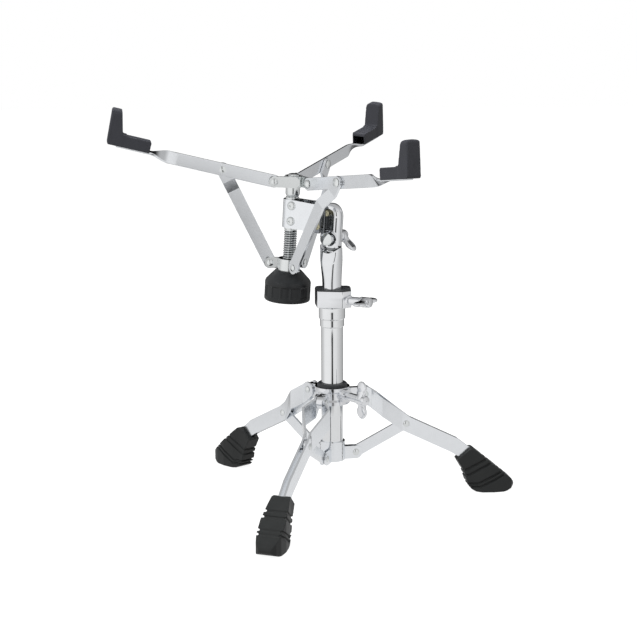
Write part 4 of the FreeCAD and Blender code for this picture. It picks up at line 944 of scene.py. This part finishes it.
def wing_ring(along, span, windowed):
    """Section of a wing at a share of its half span, which is below 0 in the lower lobe."""
    out = abs(along)
    waist = WING_WAIST + (1 - WING_WAIST) * ease(WING_ROOT, WING_MIDDLE, out)
    tip = math.sqrt(max(1 - (max(out - WING_MIDDLE, 0) / (1 - WING_MIDDLE)) ** 2, WING_TIP))
    edge = math.sqrt(max(1 - out ** WING_EDGE_POWER, WING_TIP))
    thick = WING_THICK * edge * (1 + ease(WING_SWELL, 0, out))
    lobe = WING_LOBE * waist * tip
    ring = box_ring(lobe, thick, WING_POWER, along * span / 2)
    if windowed:
        ring = [(x, y * (1 - WINDOW_DEPTH * window(x, along, lobe)), z) for x, y, z in ring]
    return ring


def make_wing(name, body, node, place, span, reach, windowed=False):
    """Wing along Z that thins out from a round hub, on a screw along X, with painted shade in its windows when it
    has them.
    """
    shares = [-math.cos(math.pi * k / WING_RINGS) for k in range(WING_RINGS + 1)]
    bm = bmesh.new()
    loft(bm, [wing_ring(along, span, windowed) for along in shares])
    half = WING_HUB_LENGTH / 2
    shoulder = WING_HUB_RADIUS - WING_CHAMFER
    screw = [(WING_HOLE, reach), (shoulder, reach), (shoulder, -half),
             (WING_HUB_RADIUS, -half + WING_CHAMFER), (WING_HUB_RADIUS, half - WING_CHAMFER),
             (shoulder, half + WING_CHAMFER), (WING_HOLE, half + 2 * WING_CHAMFER)]
    lathe(bm, filleted(screw, WING_ROUND), SMALL_POINTS, ALONG_X)
    mesh = finished(name, bm, place)
    add_piece(name, mesh, body, "chromed_casting", node)

    # Painted shade in the sunk middle of each window
    def sunk(x, y, z):
        return abs(y) < WING_THICK and window(x, 2 * z / span, WING_LOBE) > WINDOW_DARK
    if windowed:
        paint_shade(mesh, place, sunk)


def make_wings():
    """The height clamp's and the collar's wing screws and the tilter's wing nut."""
    joint = JOINTS["clamp_wing_spin"]
    axis = Vector(joint["axis"])
    centre = axis * CLAMP_WING_R * MM + UP * joint["pos_m"][2]
    place = wing_frame(centre, axis, UP.cross(axis))
    reach = (Vector(joint["pos_m"]) - centre).dot(axis) / MM
    make_wing("clamp_wing_lobes", "clamp_wing", "clamp_wing_screw", place, WING_SPAN, reach)
    joint = JOINTS["collar_wing_spin"]
    axis = Vector(joint["axis"])
    place = wing_frame(axis * COLLAR_WING_R * MM + UP * joint["pos_m"][2], axis, UP)
    reach = COLLAR_BOSS_REACH - COLLAR_WING_R
    make_wing("collar_wing_lobes", "collar_wing", "collar_wing_screw", place, WING_SPAN, reach)
    joint = JOINTS["tilter_wing_spin"]
    axis = Vector(joint["axis"])
    turn = math.radians(TILT_WING_TURN)
    span = axis.cross(UP) * math.sin(turn) + UP * math.cos(turn)
    place = wing_frame(Vector(joint["pos_m"]) + axis * TILT_WING_REACH * MM, axis, span)
    reach = HEAD_DEPTH / 2 - TILT_WING_REACH
    make_wing("tilter_wing_lobes", "tilter_wing", "tilter_wing_nut", place, TILT_WING_SPAN, reach, True)


def soften(name, body, finish, node):
    """Moulded copy of a solid, with its edges and grooves rounded."""
    mesh = solid_copy(node)
    piece = add_piece(name, mesh, body, "black_rubber", node)
    mesh.materials[0] = MATERIALS[finish]
    skin = piece.modifiers.new("skin", "REMESH")
    skin.mode = "VOXEL"
    skin.voxel_size = RUBBER_VOXEL
    skin.use_smooth_shade = True
    smooth = piece.modifiers.new("smooth", "SMOOTH")
    smooth.factor = RUBBER_SMOOTHING
    smooth.iterations = RUBBER_PASSES


def make_pieces():
    """Finer meshes in the place of turned, cast and moulded solids."""
    make_tubes()
    head = joint_frame("basket_tilt", ROD_AXIS)
    hub = Matrix.Translation(HUB_PLACE) @ head.to_3x3().to_4x4()
    make_rod(hub)
    make_slider(hub)
    make_knob(hub)
    for name in ARM_NAMES:
        make_arm(name)
        soften(name + "_pad", name, "black_rubber", name + "_grip")
    for name in LEG_NAMES:
        soften(name + "_boot", name, "foot_rubber", name + "_foot")
    make_stem(joint_frame("basket_tilt", UP))
    make_head(head)
    make_neck(head)
    make_scoop_bolt(head)
    make_screws(hub)
    make_clamp()
    make_wings()


def make_camera():
    """Camera at the photograph's place and angle."""
    data = bpy.data.cameras.new("photo_camera")
    data.lens = CAMERA_LENS
    data.sensor_width = SENSOR_WIDTH
    data.clip_end = VIEW_END
    camera = bpy.data.objects.new("photo_camera", data)
    turn = Matrix.Rotation(math.radians(CAMERA_YAW), 3, "Z")
    turn = turn @ Matrix.Rotation(math.radians(CAMERA_PITCH), 3, "X")
    turn = turn @ Matrix.Rotation(math.radians(CAMERA_ROLL), 3, "Y")
    turn = turn @ Matrix.Rotation(math.pi / 2, 3, "X")
    camera.matrix_world = Matrix.Translation(Vector(CAMERA_PLACE) * MM) @ turn.to_4x4()
    bpy.context.scene.collection.objects.link(camera)
    bpy.context.scene.camera = camera


def grey(level):
    """Opaque grey of a brightness."""
    return level, level, level, 1


def coloured(tree, kind, colour):
    """Shader of a kind in a colour."""
    shader = tree.nodes.new(kind)
    fed(tree, shader.inputs["Color"], colour)
    return shader.outputs[0]


def graded(tree, value, levels):
    """Grey that follows a value through given levels."""
    ramp = tree.nodes.new("ShaderNodeValToRGB")
    elements = ramp.color_ramp.elements
    while len(elements) < len(levels):
        elements.new(0.5)
    for element, (place, level) in zip(elements, levels):
        element.position = place
        element.color = grey(level)
    tree.links.new(value, ramp.inputs["Fac"])
    return ramp.outputs["Color"]


def measured(tree, vector):
    """The X, Y and Z of a vector, and its length."""
    parts = tree.nodes.new("ShaderNodeSeparateXYZ")
    tree.links.new(vector, parts.inputs["Vector"])
    size = tree.nodes.new("ShaderNodeVectorMath")
    size.operation = "LENGTH"
    tree.links.new(vector, size.inputs[0])
    return *[parts.outputs[name] for name in "XYZ"], size.outputs["Value"]


def studio_colour(tree, x, y, distance, band):
    """Brightness of the studio by the turn round the stand, with the dark band toward the camera."""
    turn = calculated(tree, "ARCTAN2", x, calculated(tree, "MULTIPLY", y, -1.0))
    walls = graded(tree, mapped(tree, turn, (-math.pi, math.pi), (0, 1)), STUDIO_LEVELS)
    apart = calculated(tree, "ABSOLUTE", calculated(tree, "SUBTRACT", x, BAND_MIDDLE))
    across = calculated(tree, "MULTIPLY", apart, mapped(tree, distance, *BAND_WIDENING))
    share = mapped(tree, distance, *BAND_END)
    return mixed(tree, share, walls, graded(tree, across, band), "MULTIPLY")


def by_ray(tree, kind, seen, mirrored):
    """Shader that is one thing to the camera, another in reflections, and dim to soft light."""
    path = tree.nodes.new("ShaderNodeLightPath")
    shader = coloured(tree, kind, grey(STUDIO_DIFFUSE))
    for ray, other in (("Is Glossy Ray", mirrored), ("Is Camera Ray", seen)):
        mix = tree.nodes.new("ShaderNodeMixShader")
        for socket, source in zip(mix.inputs, (path.outputs[ray], shader, other)):
            tree.links.new(source, socket)
        shader = mix.outputs["Shader"]
    return shader


def floor_material():
    """White with a soft shadow to the eye, and in reflections as bright as the walls above it."""
    material = bpy.data.materials.new("floor_white")
    material.use_nodes = True
    tree = material.node_tree
    tree.nodes.clear()
    place = tree.nodes.new("ShaderNodeNewGeometry")
    x, y, _, distance = measured(tree, place.outputs["Position"])
    glow = tree.nodes.new("ShaderNodeEmission")
    tree.links.new(mapped(tree, distance, FLOOR_REACH, FLOOR_GLOW), glow.inputs["Strength"])
    seen = tree.nodes.new("ShaderNodeAddShader")
    tree.links.new(glow.outputs["Emission"], seen.inputs[0])
    tree.links.new(coloured(tree, "ShaderNodeBsdfDiffuse", grey(FLOOR_SHADE)), seen.inputs[1])
    far = studio_colour(tree, x, y, distance, BAND_LEVELS)
    colour = mixed(tree, mapped(tree, distance, FLOOR_FADE, (0, 1)), grey(FLOOR_NEAR), far)
    mirrored = coloured(tree, "ShaderNodeEmission", colour)
    output = tree.nodes.new("ShaderNodeOutputMaterial")
    lit = by_ray(tree, "ShaderNodeEmission", seen.outputs["Shader"], mirrored)
    tree.links.new(lit, output.inputs["Surface"])
    return material


def make_floor():
    """Pale square floor under the stand."""
    half = FLOOR_SIZE / 2
    corners = [(-half, -half, 0), (half, -half, 0), (half, half, 0), (-half, half, 0)]
    mesh = bpy.data.meshes.new("floor")
    mesh.from_pydata(corners, [], [(0, 1, 2, 3)])
    mesh.materials.append(floor_material())
    floor = bpy.data.objects.new("floor", mesh)
    bpy.context.scene.collection.objects.link(floor)


def make_lamps():
    """Soft lamps that face the stand."""
    for name, place, size, power in LAMPS:
        data = bpy.data.lights.new(name, "AREA")
        data.shape = "DISK"
        data.size = size
        data.energy = power
        lamp = bpy.data.objects.new(name, data)
        facing = (Vector(LAMP_TARGET) - Vector(place)).to_track_quat("-Z", "Y")
        lamp.matrix_world = Matrix.Translation(place) @ facing.to_matrix().to_4x4()
        lamp.visible_glossy = False
        bpy.context.scene.collection.objects.link(lamp)


def make_world():
    """White backdrop for the camera, and a studio of soft grey and white walls round the stand."""
    world = bpy.data.worlds.new("studio")
    bpy.context.scene.world = world
    world.use_nodes = True
    tree = world.node_tree
    tree.nodes.clear()
    direction = tree.nodes.new("ShaderNodeTexCoord")
    x, y, z, distance = measured(tree, direction.outputs["Generated"])
    walls = studio_colour(tree, x, y, distance, WALL_BAND_LEVELS)
    colour = mixed(tree, mapped(tree, z, CEILING_RISE, (0, 1)), walls, grey(STUDIO_CEILING))
    white = coloured(tree, "ShaderNodeBackground", grey(1))
    mirrored = coloured(tree, "ShaderNodeBackground", colour)
    output = tree.nodes.new("ShaderNodeOutputWorld")
    lit = by_ray(tree, "ShaderNodeBackground", white, mirrored)
    tree.links.new(lit, output.inputs["Surface"])


dress_nodes()
make_pieces()
make_camera()
make_floor()
make_lamps()
make_world()
bpy.context.scene.view_settings.view_transform = "Standard"
